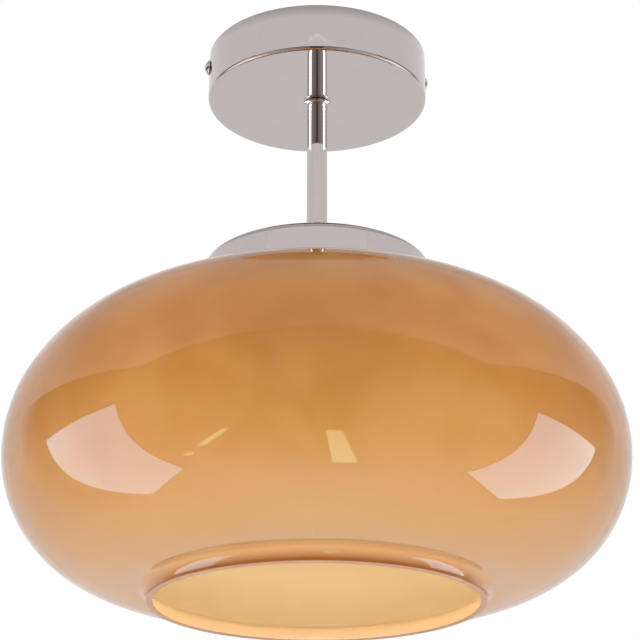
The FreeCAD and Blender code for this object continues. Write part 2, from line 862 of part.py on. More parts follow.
def stem_lead(side_sign):
    """Lead from a pole of the block, down through the stem, to one lamp holder clamp."""
    x = side_sign * lead_offset
    y = -side_sign * pole_pitch
    gather_level = pole_level + (lead_gather_rise if side_sign < 0 else 0)
    block_face = block_centre_x - block_width / 2
    bend_level = thread_top + lead_bend_drop
    clamp_x = terminal_inner_x + lead_grip
    step = lead_turn_step
    return lead([
        Vector(block_face + lead_entry, y, pole_level),
        Vector(block_face - lead_exit_run, y, pole_level),
        Vector(x + lead_gather_x, y * lead_gather_share, gather_level),
        Vector(x, 0, bend_level),
        Vector(x, 0, terminal_level + step),
        Vector(x + side_sign * step, 0, terminal_level),
        Vector(side_sign * clamp_x, 0, terminal_level),
    ])


def earth_lead():
    """Lead from the middle pole over the stem to the earth tag."""
    block_face = block_centre_x - block_width / 2
    tag_level = -strap_thickness - tag_barrel_diameter / 2
    return lead([
        Vector(block_face + lead_entry, 0, pole_level),
        Vector(block_face - earth_exit_run, 0, pole_level),
        Vector(block_face - earth_climb_run, 0, tag_level),
        Vector(tag_barrel_end_x - tag_barrel_length + 2 * overcut, 0, tag_level),
    ])


def bulb_outline():
    """Levels along the bulb, from its contact pad down to its tip."""
    pad_bottom = bulb_top - bulb_pad_height
    insulator_bottom = pad_bottom - bulb_insulator_height
    cap_bottom = insulator_bottom - bulb_cap_length
    neck_bottom = cap_bottom - bulb_neck_length
    housing_bottom = cap_bottom - bulb_housing_length
    tip = bulb_top - bulb_length
    return pad_bottom, insulator_bottom, cap_bottom, neck_bottom, housing_bottom, tip


def bulb_contact():
    """Contact pad on top of the screw cap."""
    pad_bottom = bulb_outline()[0]
    radius = bulb_pad_diameter / 2
    dome = (radius ** 2 + bulb_pad_height ** 2) / (2 * bulb_pad_height)
    rim_angle = math.degrees(math.asin((dome - bulb_pad_height) / dome))
    edges = straight_edges([at(0, bulb_top), at(0, pad_bottom), at(radius, pad_bottom)])
    edges.append(arc_edge(at(0, bulb_top - dome), dome, rim_angle, 90))
    return turned(edges)


def bulb_insulator():
    """Glass insulator between the pad and the screw cap."""
    pad_bottom, insulator_bottom = bulb_outline()[:2]
    return turned_points([
        at(0, pad_bottom),
        at(bulb_pad_diameter / 2, pad_bottom),
        at(bulb_insulator_diameter / 2, insulator_bottom),
        at(0, insulator_bottom),
    ])


def bulb_screw_cap():
    """Metal screw cap of the bulb, solid because nothing opens it."""
    insulator_bottom, cap_bottom = bulb_outline()[1:3]
    radius = bulb_cap_diameter / 2
    lead_in = radius - bulb_insulator_diameter / 2
    return turned_points([
        at(0, insulator_bottom),
        at(bulb_insulator_diameter / 2, insulator_bottom),
        at(radius, insulator_bottom - lead_in / 2),
        at(radius, cap_bottom),
        at(0, cap_bottom),
    ])


def bulb_housing():
    """Flared housing between the screw cap and the diffuser."""
    cap_bottom, neck_bottom, housing_bottom = bulb_outline()[2:5]
    neck = bulb_neck_diameter / 2
    edge = bulb_diameter / 2
    middle = at(neck + (edge - neck) * bulb_flare_out,
                neck_bottom + (housing_bottom - neck_bottom) * bulb_flare_down)
    edges = [Part.Arc(at(neck, neck_bottom), middle, at(edge, housing_bottom)).toShape()]
    edges += straight_edges([
        at(edge, housing_bottom),
        at(0, housing_bottom),
        at(0, cap_bottom),
        at(neck, cap_bottom),
        at(neck, neck_bottom),
    ])
    return turned(edges)


def bulb_envelope():
    """Thin opal diffuser of the bulb, hollow."""
    housing_bottom, tip = bulb_outline()[4:6]
    radius = bulb_diameter / 2
    centre = at(0, tip + radius)
    edges = [
        arc_edge(centre, radius, -90, 0),
        arc_edge(centre, radius - bulb_wall, -90, 0),
    ]
    edges += straight_edges([
        at(radius, centre.z),
        at(radius, housing_bottom),
        at(radius - bulb_wall, housing_bottom),
        at(radius - bulb_wall, centre.z),
    ])
    edges += straight_edges([at(0, tip), at(0, tip + bulb_wall)])
    return turned(edges)


pieces = {
    "mounting_bracket": mounting_bracket,
    "ceiling_canopy": ceiling_canopy,
    "side_screw_left": lambda: side_screw(-1),
    "side_screw_right": lambda: side_screw(1),
    "terminal_block": terminal_block,
    "terminal_tubes": terminal_tubes,
    "terminal_block_screws": terminal_block_screws,
    "block_screw": block_screw,
    "earth_tag": earth_tag,
    "earth_screw": earth_screw,
    "earth_lead": earth_lead,
    "live_lead": lambda: stem_lead(1),
    "neutral_lead": lambda: stem_lead(-1),
    "threaded_tube": threaded_tube,
    "canopy_lock_washer": lambda: toothed_washer(canopy_floor + canopy_sheet),
    "canopy_nut": lambda: hexagon_nut(canopy_washer_top),
    "stem_collar": stem_collar,
    "stem_sleeve": stem_sleeve,
    "shade_holder": shade_holder,
    "holder_lock_washer": lambda: toothed_washer(holder_washer_bottom),
    "holder_nut": lambda: hexagon_nut(holder_nut_bottom),
    "lampholder_cap": lampholder_cap,
    "lampholder_bush": lampholder_bush,
    "lampholder_skirt": lampholder_skirt,
    "lampholder_core": lampholder_core,
    "screw_shell": screw_shell,
    "centre_contact": centre_contact,
    "live_terminal": lambda: lampholder_terminal(1),
    "neutral_terminal": lambda: lampholder_terminal(-1),
    "lampholder_terminal_screws": lampholder_terminal_screws,
    "upper_gasket": upper_gasket,
    "glass_shade": glass_shade,
    "lower_gasket": lower_gasket,
    "shade_ring": shade_ring,
    "bulb_contact": bulb_contact,
    "bulb_insulator": bulb_insulator,
    "bulb_screw_cap": bulb_screw_cap,
    "bulb_housing": bulb_housing,
    "bulb_envelope": bulb_envelope,
}

os.makedirs("parts", exist_ok=True)
for name, make in pieces.items():
    shape = make()
    shape.exportStep("parts/" + name + ".step")
    bounds = shape.BoundBox
    print(name, "valid", shape.isValid(), "solids", len(shape.Solids), "volume", round(shape.Volume, 1),
          "x", round(bounds.XMin, 2), round(bounds.XMax, 2), "z", round(bounds.ZMin, 2), round(bounds.ZMax, 2))
print("widest", round(widest_level, 2), "top", round(glass_top, 2), "rim", round(glass_rim, 2))
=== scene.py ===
import math

import bmesh
import bpy
from bpy.props import FloatProperty, FloatVectorProperty, IntProperty, PointerProperty
from mathutils import Matrix, Vector


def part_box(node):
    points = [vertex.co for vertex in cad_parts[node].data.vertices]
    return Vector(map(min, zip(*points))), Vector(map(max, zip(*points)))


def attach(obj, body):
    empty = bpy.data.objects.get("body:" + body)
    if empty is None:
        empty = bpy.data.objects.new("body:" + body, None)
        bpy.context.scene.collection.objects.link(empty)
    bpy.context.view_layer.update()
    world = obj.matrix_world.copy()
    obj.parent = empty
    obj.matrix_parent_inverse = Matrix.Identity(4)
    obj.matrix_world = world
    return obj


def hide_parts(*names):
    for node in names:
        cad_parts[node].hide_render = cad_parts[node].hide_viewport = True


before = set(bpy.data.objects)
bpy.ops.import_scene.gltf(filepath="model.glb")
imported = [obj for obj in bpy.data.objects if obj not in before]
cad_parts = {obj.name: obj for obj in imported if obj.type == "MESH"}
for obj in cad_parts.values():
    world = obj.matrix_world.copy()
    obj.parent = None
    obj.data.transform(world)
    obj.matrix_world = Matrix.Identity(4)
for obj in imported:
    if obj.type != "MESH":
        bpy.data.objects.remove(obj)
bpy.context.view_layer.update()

bl_info = {
    "name": "Semi flush ceiling light",
    "version": (1, 0, 0),
    "blender": (4, 5, 0),
    "location": "View3D > Sidebar > Ceiling light",
    "description": "Builds the finished look of a semi flush ceiling light round its solid model",
    "category": "Object",
}

TAU = 2 * math.pi
QUARTER = math.pi / 2

# Angle in degrees above which an edge between faces stays sharp
CREASE = 35.0

# Finishes of the pieces that have more than one
CUP_FINISHES = ("polished_chrome", "inside_chrome")
SHADE_FINISHES = ("amber_glass", "milky_lining", "neck_lining", "ground_rim")

# How many times finer a surface's grain is than its handling marks, and the relief of grain and tool lines
METAL_GRAIN = 8
MOULDED_GRAIN = 12
GRAIN_STRENGTH = 0.35
FINE_RELIEF = 0.00002
INSULATION_ROUGHNESS = (0.30, 0.42)

# Height of the glass over which its foot is painted paler as light, the levels between which its rim is
# darkened by painted shade, and those over which it takes a painted glow
LIT_FOOT_FADE = 0.04
RIM_SHADE_FADE = (-0.3262, -0.3325)
PAINTED_GLOW_FADE = (-0.240, -0.322)

# Height of the slow waves in blown glass
BLOWN_WAVES = 0.0004

# Values between which a noise texture goes from its dark patches to its light ones
NOISE_MIDDLE = (0.38, 0.62)

# Steps of a thread in one turn
THREAD_STEPS = 64
FINE_THREAD_STEPS = 48

# Pieces that lamps are kept for
POLISHED_CUPS = ("canopy_cup", "holder_cup", "left_screw", "right_screw")
STEM_PIECES = ("sleeve_tube", "collar_bead")

# Stage colours
WHITE = (1, 1, 1, 1)
NEARLY_BLACK = (0.02, 0.02, 0.02, 1)
SIDE_TINT = (0.80, 0.90, 1.0)
GLINT_TINT = (1.0, 0.76, 0.30)

# Small lamps under the light: place and size of each in plan, and their level
GLINTS = ((0.130, -0.775, 0.115, 0.60), (-0.735, -0.90, 0.075, 0.42), (-0.735, -0.535, 0.07, 0.05))
GLINT_LEVEL = -1.1

# Lamps under the canopy for the stem's bright lines: how many on a side, how far out the first is, the step
# to the next, how far forward they are, how that and their length grow outwards, and the gap above them
LINE_LAMPS = 10
LINE_START = 0.010
LINE_STEP = 0.006
LINE_FORWARD = -0.0045
LINE_SLANT = 0.02
LINE_FAN = 0.52
LINE_GAP = 0.0004

# Dim walls: their tones from left to right, how far forward they stand and their lower edge
WALL_TONES = ((-2.1, 0.42), (-1.1, 0.42), (-0.4, 0.24), (-0.16, 0.18), (-0.12, 0.0), (0.12, 0.0),
              (0.16, 0.22), (0.34, 0.26), (0.94, 0.50), (1.9, 0.50))
WALL_FRONT = -1.12
WALL_BOTTOM = -4.6


def length(name, description, default):
    """A size in metres that a user may change."""
    return FloatProperty(name=name, description=description, default=default, subtype="DISTANCE",
                         unit="LENGTH", precision=5)


def angle(name, description, default):
    """An angle that a user may change, with its default in degrees."""
    return FloatProperty(name=name, description=description, default=math.radians(default), subtype="ANGLE",
                         unit="ROTATION")


def number(name, description, default):
    """A plain number that a user may change."""
    return FloatProperty(name=name, description=description, default=default)


def count(name, description, default):
    """A whole number that a user may change."""
    return IntProperty(name=name, description=description, default=default, min=1)


def colour(name, description, default):
    """A linear colour that a user may change."""
    return FloatVectorProperty(name=name, description=description, default=default, size=3, subtype="COLOR",
                               min=0, max=1)


class LightShadeSizes(bpy.types.PropertyGroup):
    """Sizes of the blown glass shade."""
    diameter: length("Diameter", "Widest diameter of the glass", 0.346)
    widest_level: length("Widest level", "Height of the widest circle", -0.25435)
    wall: length("Wall", "Thickness of the glass", 0.0034)
    land: length("Land diameter", "Flat round the lamp holder", 0.0642)
    hole: length("Hole diameter", "Hole that the lamp holder's skirt passes", 0.042)
    shoulder: length("Shoulder radius", "Radius of the arc just above the widest circle", 0.0763)
    shoulder_end: angle("Shoulder end", "Where the shoulder arc meets the crown arc", 29.6)
    crown: length("Crown radius", "Radius of the arc above the shoulder", 0.0963)
    crown_end: angle("Crown end", "Where the crown arc meets the top arc", 70.6)
    belly: length("Belly radius", "Radius of the arc below the widest circle", 0.0714)
    belly_end: angle("Belly end", "Where the belly arc meets the base arc", 55.0)
    neck: length("Neck diameter", "Outside of the short neck", 0.1834)
    neck_fillet: length("Neck fillet", "Radius where the neck leaves the base", 0.006)
    neck_height: length("Neck height", "From the base down to the rim", 0.0074)
    rim_bevel: length("Rim bevel", "Ground edge on each side of the rim", 0.0006)
    segments: count("Segments", "Steps round the shade", 240)


class LightMetalSizes(bpy.types.PropertyGroup):
    """Sizes of the polished canopy, holder, stem and side screws."""
    cup_diameter: length("Cup diameter", "Outside of the canopy and of the holder", 0.130)
    sheet: length("Sheet", "Thickness of the drawn sheet", 0.001)
    canopy_height: length("Canopy height", "Depth of the canopy", 0.0288)
    canopy_edge: length("Canopy edge radius", "Rounding of the canopy's lower edge", 0.002)
    holder_top: length("Holder top", "Level of the holder's flat top", -0.136)
    holder_height: length("Holder height", "Depth of the holder", 0.0257)
    holder_edge: length("Holder edge radius", "Rounding of the holder's upper edge", 0.004)
    stem_hole: length("Stem hole radius", "Hole for the threaded tube", 0.0053)
    collar_diameter: length("Collar diameter", "Outside of the bead under the canopy", 0.0159)
    collar_height: length("Collar height", "Height of the bead under the canopy", 0.0026)
    sleeve_diameter: length("Sleeve diameter", "Outside of the stem sleeve", 0.012)
    sleeve_wall: length("Sleeve wall", "Thickness of the stem sleeve", 0.0008)
    screw_level: length("Side screw level", "Height of the side screws", -0.0102)
    screw_head: length("Screw head diameter", "Outside of the domed head", 0.009)
    screw_dome: length("Screw head height", "Height of the domed head", 0.0028)
    screw_shank: length("Shank radius", "Radius of the side screw's shank", 0.00195)
    screw_length: length("Shank length", "Length of the shank under the head", 0.008)
    screw_hole: length("Screw hole radius", "Hole in the canopy for a side screw", 0.0023)
    screw_gap: length("Screw head gap", "From the canopy's wall to the seat of a head", 0.00005)
    segments: count("Segments", "Steps round the cups", 192)


class LightInsideSizes(bpy.types.PropertyGroup):
    """Sizes of the lamp holder, the bulb and the threads."""
    tube_radius: length("Tube radius", "Outside of the threaded tube", 0.005)
    tube_bore: length("Tube bore radius", "Bore of the threaded tube", 0.0035)
    tube_top: length("Tube top", "Upper end of the threaded tube", -0.021)
    tube_bottom: length("Tube bottom", "Lower end of the threaded tube", -0.146)
    tube_pitch: length("Tube pitch", "Pitch of the tube's thread", 0.001)
    skirt_pitch: length("Skirt pitch", "Pitch of the thread that carries the shade ring", 0.0025)
    cap_pitch: length("Lamp pitch", "Pitch of the lamp cap's rounded thread", 0.0036)
    bulb_radius: length("Bulb radius", "Radius of the bulb's round end", 0.030)
    segments: count("Segments", "Steps round the turned pieces", 96)


class LightFinishes(bpy.types.PropertyGroup):
    """Colours of the finishes."""
    chrome: colour("Chrome", "Polished chrome plate", (0.57, 0.515, 0.505))
    inside: colour("Inside", "Unpolished inside of the cups", (0.50, 0.47, 0.46))
    zinc: colour("Zinc", "Zinc plated steel", (0.52, 0.53, 0.54))
    glass: colour("Glass", "Outer layer of the amber glass", (0.84, 0.45, 0.145))
    glass_cloud: colour("Glass cloud", "Outer layer where it is a little thinner", (0.95, 0.565, 0.225))
    # Painted light: the lower belly's outer layer is painted paler, which also lets more light into the lower
    # inside
    glass_lit_foot: colour("Glass foot", "Outer layer of the lower belly, blown thinner", (0.92, 0.65, 0.37))
    # Painted shade: the outer layer is painted darker where the eye looks along it, towards the outline
    glass_edge_shade: colour("Glass edge", "Outer layer where the eye looks along it", (0.40, 0.20, 0.08))
    # Painted shade: the outer layer is painted darker just above the rim, on its outside faces only
    glass_rim_shade: colour("Glass at the rim", "Outer layer where it gathers at the rim", (0.17, 0.04, 0.01))
    lining: colour("Lining", "Milky lining of the shade", (0.95, 0.72, 0.40))
    lining_cloud: colour("Lining cloud", "Milky lining where it is a little thinner", (0.98, 0.77, 0.45))
    # Painted light: the lining's lower belly is painted lighter to even out the shade inside the glass
    lining_lit_foot: colour("Lining foot", "Milky lining of the lower belly", (1.0, 0.90, 0.66))
    # Painted glow: light that the lining gives off of its own near the mouth, though it is no lamp
    lining_painted_glow: colour("Lining glow", "Light that the lining gathers near the mouth", (1.0, 0.68, 0.34))
    neck_lining: colour("Neck lining", "Lining inside the neck", (1.0, 0.80, 0.52))
    ground: colour("Ground rim", "Ground edge of the rim", (0.66, 0.47, 0.38))
    glass_shine: colour("Glass shine", "Tint of what the glass mirrors", (0.42, 0.77, 1.0))
    brass: colour("Brass", "Turned brass", (0.72, 0.53, 0.24))
    nickel: colour("Nickel", "Nickel plated shell", (0.62, 0.59, 0.53))
    phenolic: colour("Phenolic", "Black moulded phenolic", (0.022, 0.021, 0.020))
    ceramic: colour("Ceramic", "Unglazed white ceramic", (0.78, 0.75, 0.69))
    nylon: colour("Nylon", "Moulded white nylon", (0.80, 0.79, 0.75))
    silicone: colour("Silicone", "Milky silicone washer", (0.70, 0.68, 0.64))
    brown: colour("Brown", "Brown insulation", (0.13, 0.045, 0.018))
    blue: colour("Blue", "Blue insulation", (0.025, 0.13, 0.42))
    green: colour("Green", "Green part of the earth insulation", (0.05, 0.30, 0.06))
    yellow: colour("Yellow", "Yellow part of the earth insulation", (0.78, 0.66, 0.05))
    plastic: colour("Plastic", "White plastic of the bulb", (0.80, 0.80, 0.78))
    opal: colour("Opal", "Opal end of the bulb", (0.86, 0.85, 0.82))


class LightStageSettings(bpy.types.PropertyGroup):
    """Camera, lamps and floor."""
    lens: FloatProperty(name="Lens", description="Focal length in millimetres", default=107.086)
    camera_place: FloatVectorProperty(name="Camera place", description="Where the camera stands",
                                      default=(-0.1509, -0.9976, -0.5759), size=3, subtype="TRANSLATION",
                                      unit="LENGTH", precision=4)
    pitch: angle("Pitch", "Tilt of the camera above the horizon", 21.97957)
    turn: angle("Turn", "Turn of the studio about the light's axis", -8.7)
    floor_level: length("Floor level", "Height of the floor", -2.0)
    side_glow: number("Side lamps", "Radiance of the two side lamps", 4.7)
    cup_glow: number("Side lamps on cups", "Radiance of the side lamps that the two polished cups see", 0.8)
    ceiling_glow: number("Ceiling lamp", "Radiance of the wide lamp above", 0.95)
    ambient: number("Ambient", "Level of the light from all round", 0.75)
    surround: number("Surround", "Level that metal and glass mirror", 0.87)
    sides: number("Sides", "Level that metal and glass mirror far to the left and right", 0.95)
    above: number("Above", "Level that metal and glass mirror high above", 0.58)
    behind: number("Behind", "Level that shows through glass", 1.0)
    front_glow: number("Front lamp", "Radiance of the lamp that only the polished metal sees", 0.81)
    glint_glow: number("Glints", "Radiance of the small lamps under the light", 7.5)
    line_glow: number("Stem lines", "Radiance of the small lamps under the canopy", 2.4)


def link_object(name, data):
    """A new object at the origin, linked to the scene."""
    made = bpy.data.objects.new(name, data)
    bpy.context.scene.collection.objects.link(made)
    return made


def object_from(name, shape):
    """A new object whose mesh comes from a bmesh, which is freed."""
    mesh = bpy.data.meshes.new(name)
    shape.to_mesh(mesh)
    shape.free()
    return link_object(name, mesh)


def hide_from(thing, *rays):
    """Keeps an object out of sight of these kinds of rays."""
    for ray in rays:
        setattr(thing, "visible_" + ray, False)


def finish_called(name):
    """The material that begin_material made under this name."""
    return bpy.data.materials["finish_" + name]


def finished(name, shape, body, slot, materials=(), crease=CREASE, replaced=()):
    """Turns a bmesh into a piece of the light. Its one material is its slot's unless others are named."""
    piece = object_from(name, shape)
    for material in materials or (slot,):
        piece.data.materials.append(finish_called(material))
    piece.data.shade_smooth()
    piece.data.set_sharp_from_angle(angle=math.radians(crease))
    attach(piece, body)
    if replaced:
        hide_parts(*replaced)
    return piece


def paint(material, *nodes):
    """Gives carried-over solids their material."""
    for node in nodes:
        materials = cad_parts[node].data.materials
        materials.clear()
        materials.append(finish_called(material))


class Outline:
    """An outline in the XZ plane, drawn from point to point and then spun about Z."""

    def __init__(self, radius, level):
        self.shape = bmesh.new()
        self.first = self.shape.verts.new((radius, 0, level))
        self.last = self.first

    def line(self, radius, level, steps=1):
        """Adds a straight run."""
        start = self.last.co.copy()
        for step in range(1, steps + 1):
            spot = start.lerp(Vector((radius, 0, level)), step / steps)
            vert = self.shape.verts.new(spot)
            self.shape.edges.new((self.last, vert))
            self.last = vert
        return self

    def through(self, *points):
        """Adds a straight run to each of these points in turn."""
        for radius, level in points:
            self.line(radius, level)
        return self

    def arc(self, centre, start, end, steps):
        """Adds an arc about a centre, between two angles above the horizontal."""
        made = bmesh.ops.spin(self.shape, geom=[self.last], cent=(centre[0], 0, centre[1]), axis=(0, 1, 0),
                              angle=start - end, steps=steps)
        self.last = [item for item in made["geom_last"] if isinstance(item, bmesh.types.BMVert)][0]
        return self

    def close(self):
        """Joins the last point to the first."""
        self.shape.edges.new((self.last, self.first))
        return self

    def spun(self, segments):
        """The closed surface of revolution, with its normals outwards."""
        bmesh.ops.spin(self.shape, geom=self.shape.verts[:] + self.shape.edges[:], cent=(0, 0, 0),
                       axis=(0, 0, 1), angle=TAU, steps=segments, use_merge=True)
        bmesh.ops.remove_doubles(self.shape, verts=self.shape.verts[:], dist=1e-7)
        bmesh.ops.dissolve_degenerate(self.shape, edges=self.shape.edges[:], dist=1e-8)
        bmesh.ops.recalc_face_normals(self.shape, faces=self.shape.faces[:])
        return self.shape


def helix_ridge(root, crest, foot, pitch, start, end, steps):
    """A helical ridge round Z, from one level up to another, its foot sunk a little into its core."""
    shape = bmesh.new()
    turns = (end - start) / pitch
    base = root - 0.0001
    corners = [(base, 0, start - foot / 2), (crest, 0, start), (base, 0, start + foot / 2)]
    verts = [shape.verts.new(corner) for corner in corners]
    edges = [shape.edges.new((verts[i], verts[(i + 1) % 3])) for i in range(3)]
    total = round(turns * steps)
    bmesh.ops.spin(shape, geom=verts + edges, cent=(0, 0, 0), axis=(0, 0, 1), angle=turns * TAU,
                   dvec=(0, 0, (end - start) / total), steps=total)
    bmesh.ops.holes_fill(shape, edges=[edge for edge in shape.edges if edge.is_boundary], sides=3)
    bmesh.ops.recalc_face_normals(shape, faces=shape.faces[:])
    return shape


def cut_away(piece, cutter_shape):
    """Cuts a closed shape out of a piece, and leaves no modifier on it."""
    cutter = object_from("cutter", cutter_shape)
    boolean = piece.modifiers.new("cut", "BOOLEAN")
    boolean.operation = "DIFFERENCE"
    boolean.solver = "EXACT"
    boolean.object = cutter
    graph = bpy.context.evaluated_depsgraph_get()
    result = bpy.data.meshes.new_from_object(piece.evaluated_get(graph))
    piece.modifiers.remove(boolean)
    old = piece.data
    name = old.name
    piece.data = result
    bpy.data.meshes.remove(old)
    result.name = name
    spare = cutter.data
    bpy.data.objects.remove(cutter)
    bpy.data.meshes.remove(spare)
    result.set_sharp_from_angle(angle=math.radians(CREASE))


# Shader node groups


class Nodes:
    """Short ways to add and join the nodes of one tree."""

    def __init__(self, tree):
        self.tree = tree

    def add(self, kind, **settings):
        """Adds a node and sets its properties."""
        node = self.tree.nodes.new(kind)
        for key, value in settings.items():
            setattr(node, key, value)
        return node

    def join(self, output, target):
        """Joins an output socket to an input socket."""
        self.tree.links.new(output, target)

    def feed(self, value, target):
        """Joins an output socket to an input socket, or sets the input to a plain value."""
        if isinstance(value, bpy.types.NodeSocket):
            self.join(value, target)
        else:
            target.default_value = value

    def split(self, vector):
        """The X, Y and Z of a vector."""
        node = self.add("ShaderNodeSeparateXYZ")
        self.join(vector, node.inputs["Vector"])
        return node.outputs

    def noise(self, vector, scale, detail=2.0, roughness=0.5, distortion=0.0, dimensions="3D"):
        """A noise texture over a vector."""
        node = self.add("ShaderNodeTexNoise", noise_dimensions=dimensions)
        node.inputs["Detail"].default_value = detail
        node.inputs["Roughness"].default_value = roughness
        node.inputs["Distortion"].default_value = distortion
        self.join(vector, node.inputs["Vector"])
        self.feed(scale, node.inputs["Scale"])
        return node.outputs["Fac"]

    def spread(self, value, low, high, to_low=0.0, to_high=1.0):
        """Maps a value from one range to another, clamped."""
        node = self.add("ShaderNodeMapRange", clamp=True)
        self.join(value, node.inputs["Value"])
        amounts = {"From Min": low, "From Max": high, "To Min": to_low, "To Max": to_high}
        for socket, amount in amounts.items():
            self.feed(amount, node.inputs[socket])
        return node.outputs["Result"]

    def choose(self, switch, off, on):
        """One value where a switch between 0 and 1 is off, and another where it is on."""
        return self.spread(switch, 0.0, 1.0, off, on)

    def mix(self, factor, first, second):
        """Mixes two colours by a value."""
        node = self.add("ShaderNodeMix", data_type="RGBA")
        self.join(factor, node.inputs["Factor"])
        for socket, value in ((node.inputs[6], first), (node.inputs[7], second)):
            self.feed((*value, 1.0) if isinstance(value, tuple) else value, socket)
        return node.outputs[2]

    def maths(self, operation, *values):
        """A maths node on sockets or numbers."""
        node = self.add("ShaderNodeMath", operation=operation)
        for socket, value in zip(node.inputs, values):
            self.feed(value, socket)
        return node.outputs[0]

    def blend(self, first, share, second):
        """A share of one value and the rest of another."""
        rest = self.maths("MULTIPLY", second, 1 - share)
        return self.maths("ADD", self.maths("MULTIPLY", first, share), rest)

    def bump(self, height, strength, distance):
        """A bump node over a height, with its distance in metres."""
        node = self.add("ShaderNodeBump")
        node.inputs["Strength"].default_value = strength
        node.inputs["Distance"].default_value = distance
        self.join(height, node.inputs["Height"])
        return node.outputs["Normal"]

    def group(self, name, vector, **values):
        """Places a group with its own values."""
        node = self.add("ShaderNodeGroup")
        node.node_tree = bpy.data.node_groups[name]
        for key, value in values.items():
            node.inputs[key].default_value = value
        self.join(vector, node.inputs["Vector"])
        return node.outputs


def begin_group(name, inputs, outputs):
    """A new shader node group that reads a vector: its nodes, its inputs and its outputs."""
    group = bpy.data.node_groups.new(name, "ShaderNodeTree")
    group.interface.new_socket("Vector", in_out="INPUT", socket_type="NodeSocketVector")
    for socket, kind, default in inputs:
        made = group.interface.new_socket(socket, in_out="INPUT", socket_type="NodeSocket" + kind)
        made.default_value = default
    for socket, kind in outputs:
        group.interface.new_socket(socket, in_out="OUTPUT", socket_type="NodeSocket" + kind)
    nodes = Nodes(group)
    return nodes, nodes.add("NodeGroupInput").outputs, nodes.add("NodeGroupOutput").inputs


def make_groups():
    """The effects that several materials share."""
    inputs = (("Scale", "Float", 30.0), ("Polished", "Float", 0.1), ("Dulled", "Float", 0.2))
    nodes, ins, outs = begin_group("handling_marks", inputs, (("Roughness", "Float"),))
    broad = nodes.noise(ins["Vector"], ins["Scale"], detail=4.0, roughness=0.6, distortion=0.4)
    mask = nodes.spread(broad, 0.42, 0.68)
    nodes.join(nodes.choose(mask, ins["Polished"], ins["Dulled"]), outs["Roughness"])

    inputs = (("Scale", "Float", 800.0), ("Light", "Color", WHITE), ("Dark", "Color", (0.8, 0.8, 0.8, 1)))
    nodes, ins, outs = begin_group("fine_grain", inputs, (("Color", "Color"), ("Height", "Float")))
    fine = nodes.noise(ins["Vector"], ins["Scale"], detail=6.0, roughness=0.65)
    broad_scale = nodes.maths("MULTIPLY", ins["Scale"], 0.06)
    broad = nodes.noise(ins["Vector"], broad_scale, detail=3.0)
    mask = nodes.spread(nodes.blend(fine, 0.45, broad), *NOISE_MIDDLE)
    nodes.join(nodes.mix(mask, ins["Dark"], ins["Light"]), outs["Color"])
    nodes.join(fine, outs["Height"])

    nodes, ins, outs = begin_group("tool_lines", (("Density", "Float", 4000.0),), (("Height", "Float"),))
    parts = nodes.split(ins["Vector"])
    squares = [nodes.maths("MULTIPLY", parts[axis], parts[axis]) for axis in ("X", "Y")]
    spot = nodes.add("ShaderNodeCombineXYZ")
    nodes.join(nodes.maths("SQRT", nodes.maths("ADD", *squares)), spot.inputs["X"])
    nodes.join(parts["Z"], spot.inputs["Y"])
    line = nodes.noise(spot.outputs["Vector"], ins["Density"], detail=1.0, dimensions="2D")
    nodes.join(line, outs["Height"])


# Finishes


def begin_material(name, **constants):
    """A material with a Principled shader whose constant sockets are set directly."""
    material = bpy.data.materials.new("finish_" + name)
    material.use_nodes = True
    nodes = Nodes(material.node_tree)
    shader = material.node_tree.nodes["Principled BSDF"]
    for key, value in constants.items():
        shader.inputs[key.replace("_", " ")].default_value = value
    vector = nodes.add("ShaderNodeTexCoord").outputs["Object"]
    return nodes, shader.inputs, vector


def add_marks(nodes, shader, vector, roughness, scale):
    """Roughness that varies with handling marks between two values."""
    marks = nodes.group("handling_marks", vector, Scale=scale, Polished=roughness[0], Dulled=roughness[1])
    nodes.join(marks["Roughness"], shader["Roughness"])


def add_grain(nodes, shader, vector, base, scale, contrast):
    """Base colour with a fine grain, a little lighter and darker. Gives the grain's height."""
    light, dark = [(*[min(1.0, part * factor) for part in base], 1.0)
                   for factor in (1 + contrast, 1 - contrast)]
    grain = nodes.group("fine_grain", vector, Scale=scale, Light=light, Dark=dark)
    nodes.join(grain["Color"], shader["Base Color"])
    return grain["Height"]


def metal(name, base, roughness, scale, contrast, lines=None):
    """A metal with a slight variation of colour, handling marks, and fine tool lines if asked."""
    nodes, shader, vector = begin_material(name, Metallic=1.0)
    add_grain(nodes, shader, vector, base, scale * METAL_GRAIN, contrast)
    add_marks(nodes, shader, vector, roughness, scale)
    if lines:
        strength, density = lines
        turned = nodes.group("tool_lines", vector, Density=density)
        nodes.join(nodes.bump(turned["Height"], strength, FINE_RELIEF), shader["Normal"])


def moulded(name, base, roughness, scale, contrast, relief=FINE_RELIEF):
    """A moulded or fired material with a fine grain."""
    nodes, shader, vector = begin_material(name)
    height = add_grain(nodes, shader, vector, base, scale * MOULDED_GRAIN, contrast)
    add_marks(nodes, shader, vector, roughness, scale)
    nodes.join(nodes.bump(height, GRAIN_STRENGTH, relief), shader["Normal"])


